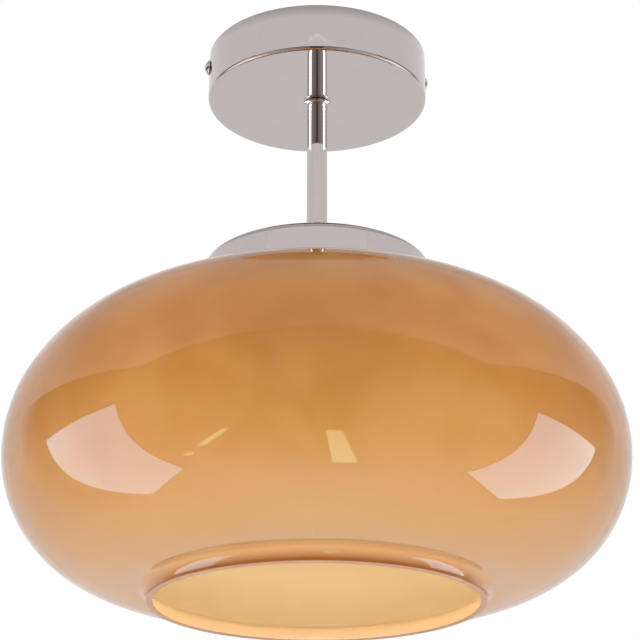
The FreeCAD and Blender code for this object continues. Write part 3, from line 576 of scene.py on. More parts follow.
def amber(name, tones, shine, roughness, through, lit_foot_from=-0.286, rim_shade=None, edge=None, glow=None,
          painted_glow_strength=0.165):
    """A layer of the amber glass with soft clouds and a foot painted paler as light; if asked, painted shade
    darkens its rim seen from outside and its outline, and a painted glow lights it towards the mouth.
    """
    nodes, shader, vector = begin_material(name, Transmission_Weight=through, IOR=1.5,
                                           Specular_Tint=(*shine, 1.0))
    base, cloud, foot = (tuple(tone) for tone in tones)
    level = nodes.split(vector)["Z"]
    broad = nodes.noise(vector, scale=24.0, distortion=0.4)
    small = nodes.noise(vector, scale=90.0)
    clouds = nodes.spread(nodes.blend(broad, 0.9, small), *NOISE_MIDDLE)
    tone = nodes.mix(clouds, base, cloud)
    # Painted light: the lower part is painted paler
    tone = nodes.mix(nodes.spread(level, lit_foot_from, lit_foot_from - LIT_FOOT_FADE), tone, foot)
    if rim_shade:
        # Painted shade: darker towards the rim, on the outside faces only
        outside = nodes.maths("SUBTRACT", 1.0, nodes.add("ShaderNodeNewGeometry").outputs["Backfacing"])
        rim_shade_mask = nodes.spread(level, *RIM_SHADE_FADE)
        tone = nodes.mix(nodes.maths("MULTIPLY", rim_shade_mask, outside), tone, tuple(rim_shade))
        # Painted shade: darker where the surface is seen edge on, towards the outline
        outline_shade_mask = nodes.add("ShaderNodeLayerWeight").outputs["Facing"]
        tone = nodes.mix(nodes.maths("POWER", outline_shade_mask, 2.0), tone, tuple(edge))
        slow = nodes.noise(vector, scale=9.0, detail=1.0)
        nodes.join(nodes.bump(slow, 1.0, BLOWN_WAVES), shader["Normal"])
    # Painted glow: emission that grows towards the mouth
    if glow:
        shader["Emission Strength"].default_value = painted_glow_strength
        low = nodes.spread(level, *PAINTED_GLOW_FADE)
        nodes.join(nodes.mix(low, (0.0, 0.0, 0.0), tuple(glow)), shader["Emission Color"])
    nodes.join(tone, shader["Base Color"])
    nodes.join(nodes.choose(clouds, *roughness), shader["Roughness"])


def make_materials(finishes):
    """Every finish of the light. Scales and densities are in cycles per metre."""
    metal("polished_chrome", finishes.chrome, (0.02, 0.05), scale=22.0, contrast=0.02)
    metal("inside_chrome", finishes.inside, (0.30, 0.42), scale=30.0, contrast=0.08)
    metal("zinc_steel", finishes.zinc, (0.28, 0.42), scale=60.0, contrast=0.14, lines=(0.25, 2500.0))
    metal("plain_brass", finishes.brass, (0.18, 0.34), scale=90.0, contrast=0.08, lines=(0.3, 5000.0))
    metal("nickel_shell", finishes.nickel, (0.16, 0.30), scale=70.0, contrast=0.05, lines=(0.2, 4000.0))
    moulded("black_phenolic", finishes.phenolic, (0.22, 0.38), scale=60.0, contrast=0.25)
    moulded("white_ceramic", finishes.ceramic, (0.62, 0.78), scale=120.0, contrast=0.05, relief=0.00005)
    moulded("block_nylon", finishes.nylon, (0.38, 0.52), scale=80.0, contrast=0.04)
    moulded("clear_silicone", finishes.silicone, (0.42, 0.55), scale=90.0, contrast=0.04)
    moulded("brown_insulation", finishes.brown, INSULATION_ROUGHNESS, scale=150.0, contrast=0.12)
    moulded("blue_insulation", finishes.blue, INSULATION_ROUGHNESS, scale=150.0, contrast=0.12)
    moulded("lamp_white_plastic", finishes.plastic, (0.34, 0.46), scale=70.0, contrast=0.02)
    moulded("lamp_opal", finishes.opal, (0.40, 0.50), scale=50.0, contrast=0.015)
    moulded("black_glass", finishes.phenolic, (0.05, 0.15), scale=90.0, contrast=0.2, relief=0.000005)
    shine = finishes.glass_shine
    amber("amber_glass", (finishes.glass, finishes.glass_cloud, finishes.glass_lit_foot), shine, (0.02, 0.03),
          through=0.85, rim_shade=finishes.glass_rim_shade, edge=finishes.glass_edge_shade)
    amber("milky_lining", (finishes.lining, finishes.lining_cloud, finishes.lining_lit_foot), shine, (0.75, 0.85),
          through=0.8, lit_foot_from=-0.235, glow=finishes.lining_painted_glow)
    # The neck lining takes a stronger painted glow
    amber("neck_lining", (finishes.neck_lining,) * 3, shine, (0.6, 0.7), through=0.85,
          glow=finishes.lining_painted_glow, painted_glow_strength=0.24)
    amber("ground_rim", (finishes.ground,) * 3, shine, (0.85, 0.95), through=0.5)

    nodes, shader, vector = begin_material("green_yellow_insulation")
    stripe = nodes.spread(nodes.split(vector)["Y"], -0.0002, 0.0002)
    nodes.join(nodes.mix(stripe, tuple(finishes.green), tuple(finishes.yellow)), shader["Base Color"])
    add_marks(nodes, shader, vector, INSULATION_ROUGHNESS, 150.0)


# Polished metal


def cup_shape(sizes, top, height, edge, opens_up):
    """A drawn sheet cup with a rounded edge, opening up or down. Its inner faces take the second material."""
    outer = sizes.cup_diameter / 2
    inner = outer - sizes.sheet
    inner_edge = max(edge - sizes.sheet, sizes.sheet / 2)
    sign = 1 if opens_up else -1
    floor = top - height if opens_up else top
    inner_floor = floor + sign * sizes.sheet
    inner_corner = (inner - inner_edge, inner_floor + sign * inner_edge)
    lip = sizes.sheet / 2
    rim = floor + sign * (height - lip)
    wall = [floor + sign * (edge + (height - lip - edge) * share) for share in (0.1, 0.24, 0.72)]
    round_hole = sizes.stem_hole + 0.002
    drawn = Outline(sizes.stem_hole, floor)
    drawn.line(round_hole, floor)
    drawn.line(outer - edge, floor, steps=10)
    drawn.arc((outer - edge, floor + sign * edge), -sign * QUARTER, 0, 10)
    drawn.through(*[(outer, level) for level in wall], (outer, rim))
    drawn.arc((outer - lip, rim), 0, sign * math.pi, 8)
    drawn.through(*[(inner, level) for level in reversed(wall)], (inner, inner_corner[1]))
    drawn.arc(inner_corner, 0, -sign * QUARTER, 8)
    drawn.line(round_hole, inner_floor, steps=10)
    drawn.line(sizes.stem_hole, inner_floor)
    shape = drawn.close().spun(sizes.segments)
    for face in shape.faces:
        spot = face.calc_center_median()
        inwards = face.normal.x * spot.x + face.normal.y * spot.y < 0 or sign * face.normal.z > 0.1
        if inwards and sign * (rim - spot.z) > 0:
            face.material_index = 1
    return shape


def bar_along_x(radius, half_length, level):
    """A round cutting bar along X."""
    shape = bmesh.new()
    bmesh.ops.create_cone(shape, cap_ends=True, segments=48, radius1=radius, radius2=radius,
                          depth=2 * half_length)
    bmesh.ops.rotate(shape, cent=(0, 0, 0), matrix=Matrix.Rotation(QUARTER, 3, "Y"), verts=shape.verts[:])
    bmesh.ops.translate(shape, vec=(0, 0, level), verts=shape.verts[:])
    return shape


class OBJECT_OT_light_canopy(bpy.types.Operator):
    """Build the polished canopy with its two screw holes"""
    bl_idname = "object.light_canopy"
    bl_label = "Ceiling canopy"

    def execute(self, context):
        sizes = context.scene.light_metal
        shape = cup_shape(sizes, 0.0, sizes.canopy_height, sizes.canopy_edge, True)
        piece = finished("canopy_cup", shape, "fixture", "polished_chrome", CUP_FINISHES,
                         replaced=["ceiling_canopy"])
        cut_away(piece, bar_along_x(sizes.screw_hole, sizes.cup_diameter, sizes.screw_level))
        return {"FINISHED"}


class OBJECT_OT_light_holder(bpy.types.Operator):
    """Build the polished cup on top of the glass"""
    bl_idname = "object.light_holder"
    bl_label = "Shade holder"

    def execute(self, context):
        sizes = context.scene.light_metal
        shape = cup_shape(sizes, sizes.holder_top, sizes.holder_height, sizes.holder_edge, False)
        finished("holder_cup", shape, "fixture", "polished_chrome", CUP_FINISHES, replaced=["shade_holder"])
        return {"FINISHED"}


class OBJECT_OT_light_stem(bpy.types.Operator):
    """Build the bead-shaped collar and the polished sleeve"""
    bl_idname = "object.light_stem"
    bl_label = "Stem collar and sleeve"

    def execute(self, context):
        sizes = context.scene.light_metal
        half = sizes.collar_height / 2
        middle = -sizes.canopy_height - half
        rounding = sizes.collar_diameter / 2 - half
        drawn = Outline(sizes.stem_hole, middle - half)
        drawn.line(rounding, middle - half)
        drawn.arc((rounding, middle), -QUARTER, QUARTER, 20)
        drawn.line(sizes.stem_hole, middle + half)
        finished("collar_bead", drawn.close().spun(sizes.segments), "fixture", "polished_chrome",
                 replaced=["stem_collar"])
        outer = sizes.sleeve_diameter / 2
        inner = outer - sizes.sleeve_wall
        top, bottom = middle - half, sizes.holder_top
        bevel = 0.0001
        drawn = Outline(inner + bevel, bottom)
        drawn.through((outer - bevel, bottom), (outer, bottom + bevel), (outer, top - bevel),
                      (outer - bevel, top), (inner + bevel, top), (inner, top - bevel),
                      (inner, bottom + bevel))
        finished("sleeve_tube", drawn.close().spun(sizes.segments), "fixture", "polished_chrome",
                 replaced=["stem_sleeve"])
        return {"FINISHED"}


class OBJECT_OT_light_screws(bpy.types.Operator):
    """Build the two domed side screws with their cross recess"""
    bl_idname = "object.light_screws"
    bl_label = "Side screws"

    def execute(self, context):
        sizes = context.scene.light_metal
        for name, sign in (("left", -1), ("right", 1)):
            piece = finished(name + "_screw", self.turned_screw(sizes), name + "_side_screw",
                             "polished_chrome", replaced=["side_screw_" + name])
            for turn in (0, QUARTER):
                cut_away(piece, self.recess_arm(turn, sizes.screw_dome))
            seat = sizes.cup_diameter / 2 + sizes.screw_gap
            laid = Matrix.Rotation(sign * QUARTER, 4, "Y")
            piece.data.transform(Matrix.Translation((sign * seat, 0, sizes.screw_level)) @ laid)
        return {"FINISHED"}

    def turned_screw(self, sizes):
        """A screw with its head upwards, its seat at level zero."""
        head = sizes.screw_head / 2
        edge = 0.0005
        rise = sizes.screw_dome - edge
        dome = (head ** 2 + rise ** 2) / (2 * rise)
        shank = sizes.screw_shank
        tip = -sizes.screw_length
        point = 0.0005
        drawn = Outline(0, tip)
        drawn.through((shank - point, tip), (shank, tip + point), (shank, 0), (head - edge / 2, 0))
        drawn.arc((head - edge / 2, edge / 2), -QUARTER, 0, 4)
        drawn.line(head, edge)
        drawn.arc((0, sizes.screw_dome - dome), math.asin((dome - rise) / dome), QUARTER, 16)
        return drawn.spun(64)

    def recess_arm(self, turn, top):
        """The cutter for one bar of the cross recess, tapering downwards."""
        bar = (0.005, 0.001, 0.004)
        taper = (0.5, 0.6, 1.0)
        raised = 0.0006
        shape = bmesh.new()
        bmesh.ops.create_cube(shape, size=1.0)
        bmesh.ops.scale(shape, vec=bar, verts=shape.verts[:])
        bmesh.ops.scale(shape, vec=taper, verts=[vert for vert in shape.verts if vert.co.z < 0])
        bmesh.ops.rotate(shape, cent=(0, 0, 0), matrix=Matrix.Rotation(turn, 3, "Z"), verts=shape.verts[:])
        bmesh.ops.translate(shape, vec=(0, 0, top + raised), verts=shape.verts[:])
        return shape


# Glass


def shade_arcs(sizes):
    """The shade's outer arcs from the land down to the neck: centre, radius, start and end angle, steps."""
    def next_centre(centre, step, turn):
        return (centre[0] + step * math.cos(turn), centre[1] + step * math.sin(turn))
    widest = sizes.diameter / 2
    level = sizes.widest_level
    shoulder = (widest - sizes.shoulder, level)
    crown = next_centre(shoulder, sizes.shoulder - sizes.crown, sizes.shoulder_end)
    top_radius = sizes.crown + (crown[0] - sizes.land / 2) / math.cos(sizes.crown_end)
    top = next_centre(crown, sizes.crown - top_radius, sizes.crown_end)
    belly = (widest - sizes.belly, level)
    neck_start = sizes.neck / 2 + sizes.neck_fillet
    base_radius = sizes.belly + (belly[0] - neck_start) / math.cos(sizes.belly_end)
    base = next_centre(belly, sizes.belly - base_radius, -sizes.belly_end)
    return [
        (top, top_radius, QUARTER, sizes.crown_end, 30),
        (crown, sizes.crown, sizes.crown_end, sizes.shoulder_end, 28),
        (shoulder, sizes.shoulder, sizes.shoulder_end, 0.0, 18),
        (belly, sizes.belly, 0.0, -sizes.belly_end, 28),
        (base, base_radius, -sizes.belly_end, -QUARTER, 22),
    ]


class OBJECT_OT_light_glass(bpy.types.Operator):
    """Build the blown glass shade with its ground rim"""
    bl_idname = "object.light_glass"
    bl_label = "Glass shade"

    def execute(self, context):
        sizes = context.scene.light_shade
        wall = sizes.wall
        arcs = shade_arcs(sizes)
        base, base_radius = arcs[-1][:2]
        neck = sizes.neck / 2
        fillet = (neck + sizes.neck_fillet, base[1] - base_radius - sizes.neck_fillet)
        rim = base[1] - base_radius - sizes.neck_height
        bevel = sizes.rim_bevel
        top = arcs[0][0][1] + arcs[0][1]
        hole = sizes.hole / 2
        drawn = Outline(hole, top)
        drawn.line(sizes.land / 2, top, steps=4)
        for centre, _, start, end, steps in arcs:
            drawn.arc(centre, start, end, steps)
        drawn.arc(fillet, QUARTER, 2 * QUARTER, 10)
        drawn.line(neck, rim + bevel, steps=2)
        drawn.line(neck - bevel, rim)
        drawn.line(neck - wall + bevel, rim, steps=2)
        drawn.line(neck - wall, rim + bevel)
        drawn.line(neck - wall, fillet[1], steps=2)
        drawn.arc(fillet, 2 * QUARTER, QUARTER, 10)
        for centre, _, start, end, steps in reversed(arcs):
            drawn.arc(centre, end, start, steps)
        drawn.line(hole, top - wall, steps=4)
        shape = drawn.close().spun(sizes.segments)
        lining, neck_lining, ground = 1, 2, 3
        middle = Vector((0, 0, sizes.widest_level))
        neck_top = fillet[1] + sizes.neck_fillet + wall
        for face in shape.faces:
            spot = face.calc_center_median()
            outward = math.hypot(spot.x, spot.y)
            inwards = face.normal.dot(spot - middle) < 0
            if spot.z < rim + bevel:
                face.material_index = ground
            elif spot.z < neck_top and outward < neck - wall / 2 + sizes.neck_fillet:
                if inwards or outward < neck - wall / 2:
                    face.material_index = neck_lining
            elif inwards:
                face.material_index = lining
        finished("amber_shade", shape, "fixture", "amber_glass", SHADE_FINISHES, crease=30.0,
                 replaced=["glass_shade"])
        return {"FINISHED"}


class OBJECT_OT_light_clamp(bpy.types.Operator):
    """Finish the gaskets and the ring that clamp the glass"""
    bl_idname = "object.light_clamp"
    bl_label = "Shade ring and gaskets"

    def execute(self, context):
        paint("clear_silicone", "upper_gasket", "lower_gasket")
        paint("black_phenolic", "shade_ring")
        return {"FINISHED"}


# Lamp holder and bulb


class OBJECT_OT_light_lampholder(bpy.types.Operator):
    """Build the lamp holder's threaded skirt and finish its other parts"""
    bl_idname = "object.light_lampholder"
    bl_label = "Lamp holder"

    def execute(self, context):
        sizes = context.scene.light_inside
        low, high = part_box("lampholder_skirt")
        top, bottom = high[2], low[2]
        flange = 0.024
        bevel = 0.0003
        bore = 0.017
        core_bore = bore + 0.00005
        mouth = 0.0004
        crest = 0.0197
        root = crest - 0.0009
        flange_bottom = top - 0.002
        thread_top = flange_bottom - 0.0045
        lead_in = 0.0004
        foot_top = bottom + 0.0008
        foot_bevel = 0.0006
        ledge = 0.01465
        core_bottom = top - 0.0061
        boss_bottom = core_bottom - 0.0016
        drawn = Outline(core_bore, top)
        drawn.through((flange - bevel, top), (flange, top - bevel), (flange, flange_bottom + bevel),
                      (flange - bevel, flange_bottom), (crest, flange_bottom), (crest, thread_top),
                      (root, thread_top - lead_in))
        drawn.line(root, foot_top, steps=3)
        drawn.through((root - foot_bevel, bottom), (bore + mouth, bottom), (bore, bottom + mouth),
                      (bore, boss_bottom), (ledge, boss_bottom), (ledge, core_bottom),
                      (core_bore, core_bottom))
        finished("holder_skirt", drawn.close().spun(sizes.segments), "fixture", "black_phenolic",
                 replaced=["lampholder_skirt"])
        thread_bottom = bottom + 0.0022
        thread_end = thread_top - 0.0012
        ridge = helix_ridge(root, crest, sizes.skirt_pitch * 0.85, sizes.skirt_pitch, thread_bottom,
                            thread_end, THREAD_STEPS)
        finished("holder_skirt_thread", ridge, "fixture", "black_phenolic")
        paint("black_phenolic", "lampholder_cap")
        paint("white_ceramic", "lampholder_core")
        paint("nickel_shell", "screw_shell")
        paint("plain_brass", "lampholder_bush", "centre_contact", "live_terminal", "neutral_terminal")
        paint("zinc_steel", "lampholder_terminal_screws")
        return {"FINISHED"}


def circle_through(first, second, third):
    """Centre of the circle through three points."""
    points = (first, second, third)
    cross = 0
    across = 0
    along = 0
    for (x, y), after, before in zip(points, points[1:] + points[:1], points[-1:] + points[:-1]):
        square = x * x + y * y
        cross += 2 * x * (after[1] - before[1])
        across += square * (after[1] - before[1])
        along += square * (before[0] - after[0])
    return (across / cross, along / cross)


class OBJECT_OT_light_bulb(bpy.types.Operator):
    """Build the bulb's rounded thread, housing and opal end"""
    bl_idname = "object.light_bulb"
    bl_label = "Bulb"

    def execute(self, context):
        sizes = context.scene.light_inside
        paint("plain_brass", "bulb_contact")
        paint("black_glass", "bulb_insulator")
        self.screw_cap(sizes)
        self.housing(sizes)
        self.envelope(sizes)
        return {"FINISHED"}

    def screw_cap(self, sizes):
        """Screw cap with a rounded thread."""
        low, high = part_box("bulb_screw_cap")
        top, bottom = high[2], low[2]
        crest = high[0]
        root = crest - 0.0008
        end = 0.009
        lead_in = 0.0024
        collar = 0.0008
        collar_slope = 0.0012
        drawn = Outline(0, top)
        drawn.through((end, top), (root, top - lead_in))
        drawn.line(root, bottom + collar_slope, steps=4)
        drawn.through((crest, bottom + collar), (crest, bottom), (0, bottom))
        finished("bulb_cap", drawn.spun(sizes.segments), "bulb", "nickel_shell", replaced=["bulb_screw_cap"])
        thread_bottom = bottom + 0.0034
        thread_top = top - lead_in - 0.0018
        ridge = helix_ridge(root, crest, sizes.cap_pitch * 0.9, sizes.cap_pitch, thread_bottom, thread_top,
                            THREAD_STEPS)
        apex = [edge for edge in ridge.edges
                if all(math.hypot(vert.co.x, vert.co.y) > crest - 1e-6 for vert in edge.verts)]
        bmesh.ops.bevel(ridge, geom=apex, offset=0.0009, offset_type="OFFSET", affect="EDGES", segments=4,
                        profile=0.5, material=-1)
        finished("bulb_cap_thread", ridge, "bulb", "nickel_shell", crease=50.0)

    def housing(self, sizes):
        """Flared housing with a short straight neck."""
        low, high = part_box("bulb_housing")
        top, bottom = high[2], low[2]
        wide = sizes.bulb_radius
        neck = 0.0145
        bevel = 0.0006
        neck_bottom = top - 0.006
        share_out, share_down = 0.36, 0.55
        middle = (neck + (wide - neck) * share_out, neck_bottom - (neck_bottom - bottom) * share_down)
        centre = circle_through((neck, neck_bottom), middle, (wide, bottom))
        start = math.atan2(neck_bottom - centre[1], neck - centre[0])
        end = math.atan2(bottom - centre[1], wide - centre[0])
        drawn = Outline(0, top)
        drawn.through((neck - bevel, top), (neck, top - bevel), (neck, neck_bottom))
        drawn.arc(centre, start, start + (end - start) % TAU, 24)
        drawn.line(0, bottom)
        finished("bulb_body", drawn.spun(sizes.segments), "bulb", "lamp_white_plastic",
                 replaced=["bulb_housing"])

    def envelope(self, sizes):
        """Hollow opal end."""
        low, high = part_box("bulb_envelope")
        top, tip = high[2], low[2]
        radius = sizes.bulb_radius
        inner = radius - 0.0012
        bevel = 0.0004
        centre = (0, tip + radius)
        drawn = Outline(0, tip)
        drawn.arc(centre, -QUARTER, 0, 32)
        drawn.through((radius, top - bevel), (radius - bevel, top), (inner, top), (inner, centre[1]))
        drawn.arc(centre, 0, -QUARTER, 32)
        finished("bulb_dome", drawn.close().spun(sizes.segments), "bulb", "lamp_opal",
                 replaced=["bulb_envelope"])


# Hidden metalwork and wiring


class OBJECT_OT_light_fixings(bpy.types.Operator):
    """Finish the bracket, washers and nuts and build the threaded tube"""
    bl_idname = "object.light_fixings"
    bl_label = "Bracket and fixings"

    def execute(self, context):
        paint("zinc_steel", "mounting_bracket", "canopy_lock_washer", "holder_lock_washer", "earth_screw",
              "block_screw")
        paint("plain_brass", "canopy_nut", "holder_nut", "earth_tag")
        sizes = context.scene.light_inside
        top, bottom = sizes.tube_top, sizes.tube_bottom
        outer = sizes.tube_radius
        root = outer - 0.0006
        inner = sizes.tube_bore
        bevel = 0.0002
        foot_bevel = 0.0004
        shoulder = top - 0.0034
        shoulder_slope = 0.0003
        drawn = Outline(inner + bevel, top)
        drawn.through((root - bevel, top), (root, top - bevel), (root, shoulder),
                      (outer, shoulder - shoulder_slope), (outer, bottom + foot_bevel),
                      (outer - foot_bevel, bottom), (inner + bevel, bottom), (inner, bottom + bevel),
                      (inner, top - bevel))
        finished("stem_tube", drawn.close().spun(sizes.segments), "fixture", "zinc_steel",
                 replaced=["threaded_tube"])
        thread_top = top - 0.0006
        ridge = helix_ridge(root, outer, sizes.tube_pitch * 0.9, sizes.tube_pitch, shoulder, thread_top,
                            FINE_THREAD_STEPS)
        finished("stem_tube_thread", ridge, "fixture", "zinc_steel")
        return {"FINISHED"}


class OBJECT_OT_light_wiring(bpy.types.Operator):
    """Finish the terminal block, its tubes and screws, and the leads"""
    bl_idname = "object.light_wiring"
    bl_label = "Terminal block and leads"

    def execute(self, context):
        paint("block_nylon", "terminal_block")
        paint("plain_brass", "terminal_tubes")
        paint("zinc_steel", "terminal_block_screws")
        paint("green_yellow_insulation", "earth_lead")
        paint("brown_insulation", "live_lead")
        paint("blue_insulation", "neutral_lead")
        return {"FINISHED"}


# Stage


def stage_card(name, outline, bottom, top, turn):
    """Upright cards of the stage that follow an outline in plan, turned with the studio."""
    shape = bmesh.new()
    verts = [shape.verts.new((x, y, bottom)) for x, y in outline]
    edges = [shape.edges.new(pair) for pair in zip(verts, verts[1:])]
    raised = bmesh.ops.extrude_edge_only(shape, edges=edges)["geom"]
    bmesh.ops.translate(shape, vec=(0, 0, top - bottom),
                        verts=[item for item in raised if isinstance(item, bmesh.types.BMVert)])
    card = object_from(name, shape)
    card.rotation_euler = (0, 0, turn)
    card.data.materials.append(finish_called(name))
    hide_from(card, "camera", "diffuse", "transmission")
    return card


def soft_lamp(name, spot, facing, size, glow, turn, tint=(1, 1, 1), only=()):
    """A rectangular lamp of the given radiance, which shines on the named pieces alone if there are any."""
    data = bpy.data.lights.new(name, "AREA")
    data.shape = "RECTANGLE"
    data.size, data.size_y = size
    data.energy = glow * math.pi * size[0] * size[1]
    data.color = tint
    lamp = link_object(name, data)
    look = Vector(facing).to_track_quat("-Z", "Y").to_matrix().to_4x4()
    lamp.matrix_world = Matrix.Rotation(turn, 4, "Z") @ Matrix.Translation(Vector(spot)) @ look
    hide_from(lamp, "camera", "transmission")
    if only:
        receivers = bpy.data.collections.new(name + "_receivers")
        for piece in only:
            receivers.objects.link(bpy.data.objects[piece])
        lamp.light_linking.receiver_collection = receivers
    return lamp


class OBJECT_OT_light_stage(bpy.types.Operator):
    """Build the floor, the lamps, the surround and the camera"""
    bl_idname = "object.light_stage"
    bl_label = "Stage"

    def execute(self, context):
        settings = context.scene.light_stage
        self.surround(context, settings)
        self.floor(settings)
        self.lamps(settings)
        self.stem_lines(settings)
        self.dim_walls(settings)
        self.divider(settings)
        self.camera(context, settings)
        context.scene.view_settings.view_transform = "Standard"
        return {"FINISHED"}

    def surround(self, context, settings):
        """Soft light from all round, white to the camera and through glass, and of pale tones in mirrors."""
        world = bpy.data.worlds.new("studio")
        context.scene.world = world
        world.use_nodes = True
        nodes = Nodes(world.node_tree)
        background = world.node_tree.nodes["Background"]
        rays = nodes.add("ShaderNodeLightPath").outputs
        parts = nodes.split(nodes.add("ShaderNodeTexCoord").outputs["Generated"])
        beside = nodes.spread(nodes.maths("ABSOLUTE", parts["X"]), 0.45, 0.75)
        not_high = nodes.spread(parts["Z"], 0.38, 0.31)
        level = nodes.choose(nodes.maths("MULTIPLY", beside, not_high), settings.surround, settings.sides)
        mirrored = nodes.spread(parts["Z"], 0.53, 0.65, level, settings.above)
        level = nodes.choose(rays["Is Glossy Ray"], settings.ambient, mirrored)
        level = nodes.choose(rays["Is Transmission Ray"], level, settings.behind)
        nodes.join(nodes.choose(rays["Is Camera Ray"], level, 1.0), background.inputs["Strength"])
        background.inputs["Color"].default_value = WHITE

    def floor(self, settings):
        """A plain pale floor far below the light."""
        nodes, shader, vector = begin_material("floor_paint", Roughness=0.9, Emission_Color=WHITE)
        darker, paler = (0.82, 0.82, 0.82), (0.84, 0.84, 0.84)
        lift = 0.55
        half_width = 8.0
        nodes.join(nodes.mix(nodes.noise(vector, scale=3.0), darker, paler), shader["Base Color"])
        rays = nodes.add("ShaderNodeLightPath").outputs
        nodes.join(nodes.maths("MULTIPLY", rays["Is Camera Ray"], lift), shader["Emission Strength"])
        shape = bmesh.new()
        bmesh.ops.create_grid(shape, x_segments=1, y_segments=1, size=half_width)
        bmesh.ops.translate(shape, vec=(0, 0, settings.floor_level), verts=shape.verts[:])
        floor = object_from("floor", shape)
        floor.data.materials.append(finish_called("floor_paint"))
        hide_from(floor, "glossy", "transmission")

    def lamps(self, settings):
        """The lamps round the light."""
        turn = settings.turn
        for name, spot, facing, size in (
            ("side_lamp_left", (-1.2, -0.105, -1.075), (1, 0, 0), (0.75, 1.61)),
            ("side_lamp_right", (1.2, 0.06, -0.985), (-1, 0, 0), (0.70, 1.43)),
        ):
            lamp = soft_lamp(name, spot, facing, size, settings.side_glow, turn, SIDE_TINT,
                             ("amber_shade",) + STEM_PIECES)
            hide_from(lamp, "diffuse")
            soft_lamp(name + "_on_cups", spot, facing, size, settings.cup_glow, turn, only=POLISHED_CUPS)
        lamp = soft_lamp("ceiling_lamp", (0, 0.9, 0.62), (0, 0, -1), (4.4, 4.0), settings.ceiling_glow, turn)
        hide_from(lamp, "glossy")
        soft_lamp("front_lamp", (-0.1, -1.118, 0.4), (0, 1, 0), (4.0, 0.4), settings.front_glow, turn,
                  only=POLISHED_CUPS + STEM_PIECES)
        for order, (x, y, wide, long) in enumerate(GLINTS):
            lamp = soft_lamp("glint_%d" % order, (x, y, GLINT_LEVEL), (0, 0, 1), (wide, long),
                             settings.glint_glow, turn, GLINT_TINT, ("amber_shade",))
            hide_from(lamp, "diffuse")

    def stem_lines(self, settings):
        """Fans of narrow lamps just under the canopy that draw a bright line down each side of the stem."""
        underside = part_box("ceiling_canopy")[0][2]
        for side, word in ((-1, "left"), (1, "right")):
            for order in range(LINE_LAMPS):
                reach = LINE_START + LINE_STEP * order
                spot = (side * reach, LINE_FORWARD - LINE_SLANT * reach, underside - LINE_GAP)
                lamp = soft_lamp("stem_line_%s_%d" % (word, order), spot, (0, 0, -1),
                                 (LINE_STEP, LINE_FAN * reach), settings.line_glow, settings.turn,
                                 only=STEM_PIECES)
                hide_from(lamp, "diffuse")

    def dim_walls(self, settings):
        """Dim walls in front and at the sides that only mirrors see, paler to the right and further down."""
        nodes, shader, vector = begin_material("dim_walls", Roughness=1.0, Base_Color=NEARLY_BLACK,
                                               Emission_Color=WHITE)
        left, right = WALL_TONES[0][0], WALL_TONES[-1][0]
        parts = nodes.split(vector)
        ramp = nodes.add("ShaderNodeValToRGB")
        nodes.join(nodes.spread(parts["X"], left, right), ramp.inputs["Fac"])
        points = ramp.color_ramp.elements
        while len(points) < len(WALL_TONES):
            points.new(1.0)
        for point, (x, level) in zip(points, WALL_TONES):
            point.position = (x - left) / (right - left)
            point.color = (level, level, level, 1)
        lower = nodes.spread(parts["Z"], 0.3, -0.5)
        dim = nodes.maths("ADD", nodes.maths("MULTIPLY", ramp.outputs["Color"], lower), 0.05)
        low = nodes.spread(parts["Z"], -1.6, WALL_BOTTOM)
        back = nodes.spread(parts["Y"], 0.8, 1.5)
        pale = nodes.maths("MAXIMUM", low, back)
        nodes.join(nodes.choose(pale, dim, settings.sides), shader["Emission Strength"])
        outline = [(left, 1.5), (left, WALL_FRONT), (right, WALL_FRONT), (right, 1.6)]
        walls = stage_card("dim_walls", outline, WALL_BOTTOM, 0.6, settings.turn)
        hide_from(walls, "shadow")

    def divider(self, settings):
        """A dim card under the mouth, edge on to the camera, that keeps each side lamp to its own side."""
        begin_material("divider", Roughness=1.0, Base_Color=NEARLY_BLACK, Emission_Color=WHITE,
                       Emission_Strength=0.4)
        stage_card("divider", [(0, -0.35), (0, 0.35)], -0.62, -0.338, settings.turn)

    def camera(self, context, settings):
        """The camera at the photograph's viewpoint."""
        data = bpy.data.cameras.new("camera")
        data.lens = settings.lens
        data.sensor_width = 36.0
        data.clip_start = 0.01
        camera = link_object("camera", data)
        camera.location = settings.camera_place
        camera.rotation_euler = (QUARTER + settings.pitch, 0, settings.turn)
        context.scene.camera = camera


class OBJECT_OT_light_materials(bpy.types.Operator):
    """Build the finishes that the pieces share"""
    bl_idname = "object.light_materials"
    bl_label = "Finishes"

    def execute(self, context):
        make_groups()
        make_materials(context.scene.light_finishes)
        return {"FINISHED"}


class VIEW3D_PT_light(bpy.types.Panel):
    """Lists what builds the ceiling light"""
    bl_label = "Ceiling light"
    bl_idname = "VIEW3D_PT_light"
    bl_space_type = "VIEW_3D"
    bl_region_type = "UI"
    bl_category = "Ceiling light"

    def draw(self, context):
        for operator in OPERATORS:
            self.layout.operator(operator.bl_idname)


OPERATORS = (
    OBJECT_OT_light_materials,
    OBJECT_OT_light_canopy,
    OBJECT_OT_light_holder,
    OBJECT_OT_light_stem,
    OBJECT_OT_light_screws,
    OBJECT_OT_light_glass,
    OBJECT_OT_light_clamp,
    OBJECT_OT_light_lampholder,
    OBJECT_OT_light_bulb,
    OBJECT_OT_light_fixings,
    OBJECT_OT_light_wiring,
    OBJECT_OT_light_stage,
)

SETTINGS = {
    "light_shade": LightShadeSizes,
    "light_metal": LightMetalSizes,
    "light_inside": LightInsideSizes,
    "light_finishes": LightFinishes,
    "light_stage": LightStageSettings,
}


def register():
    """Registers the settings, the operators and the panel."""
    for name, group in SETTINGS.items():
        bpy.utils.register_class(group)
        setattr(bpy.types.Scene, name, PointerProperty(type=group))
    for operator in OPERATORS:
        bpy.utils.register_class(operator)
    bpy.utils.register_class(VIEW3D_PT_light)


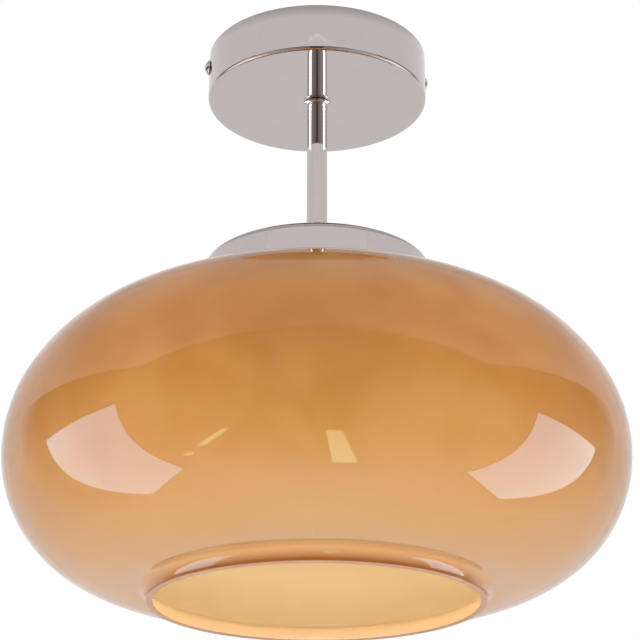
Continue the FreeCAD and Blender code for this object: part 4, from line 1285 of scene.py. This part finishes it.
def unregister():
    """Takes back what register did."""
    bpy.utils.unregister_class(VIEW3D_PT_light)
    for operator in reversed(OPERATORS):
        bpy.utils.unregister_class(operator)
    for name, group in reversed(SETTINGS.items()):
        delattr(bpy.types.Scene, name)
        bpy.utils.unregister_class(group)


def main():
    """Builds the whole light."""
    register()
    for operator in OPERATORS:
        section, name = operator.bl_idname.split(".")
        result = getattr(getattr(bpy.ops, section), name)()
        if result != {"FINISHED"}:
            raise RuntimeError(operator.bl_label + " wasn't finished")


if __name__ == "__main__":
    main()
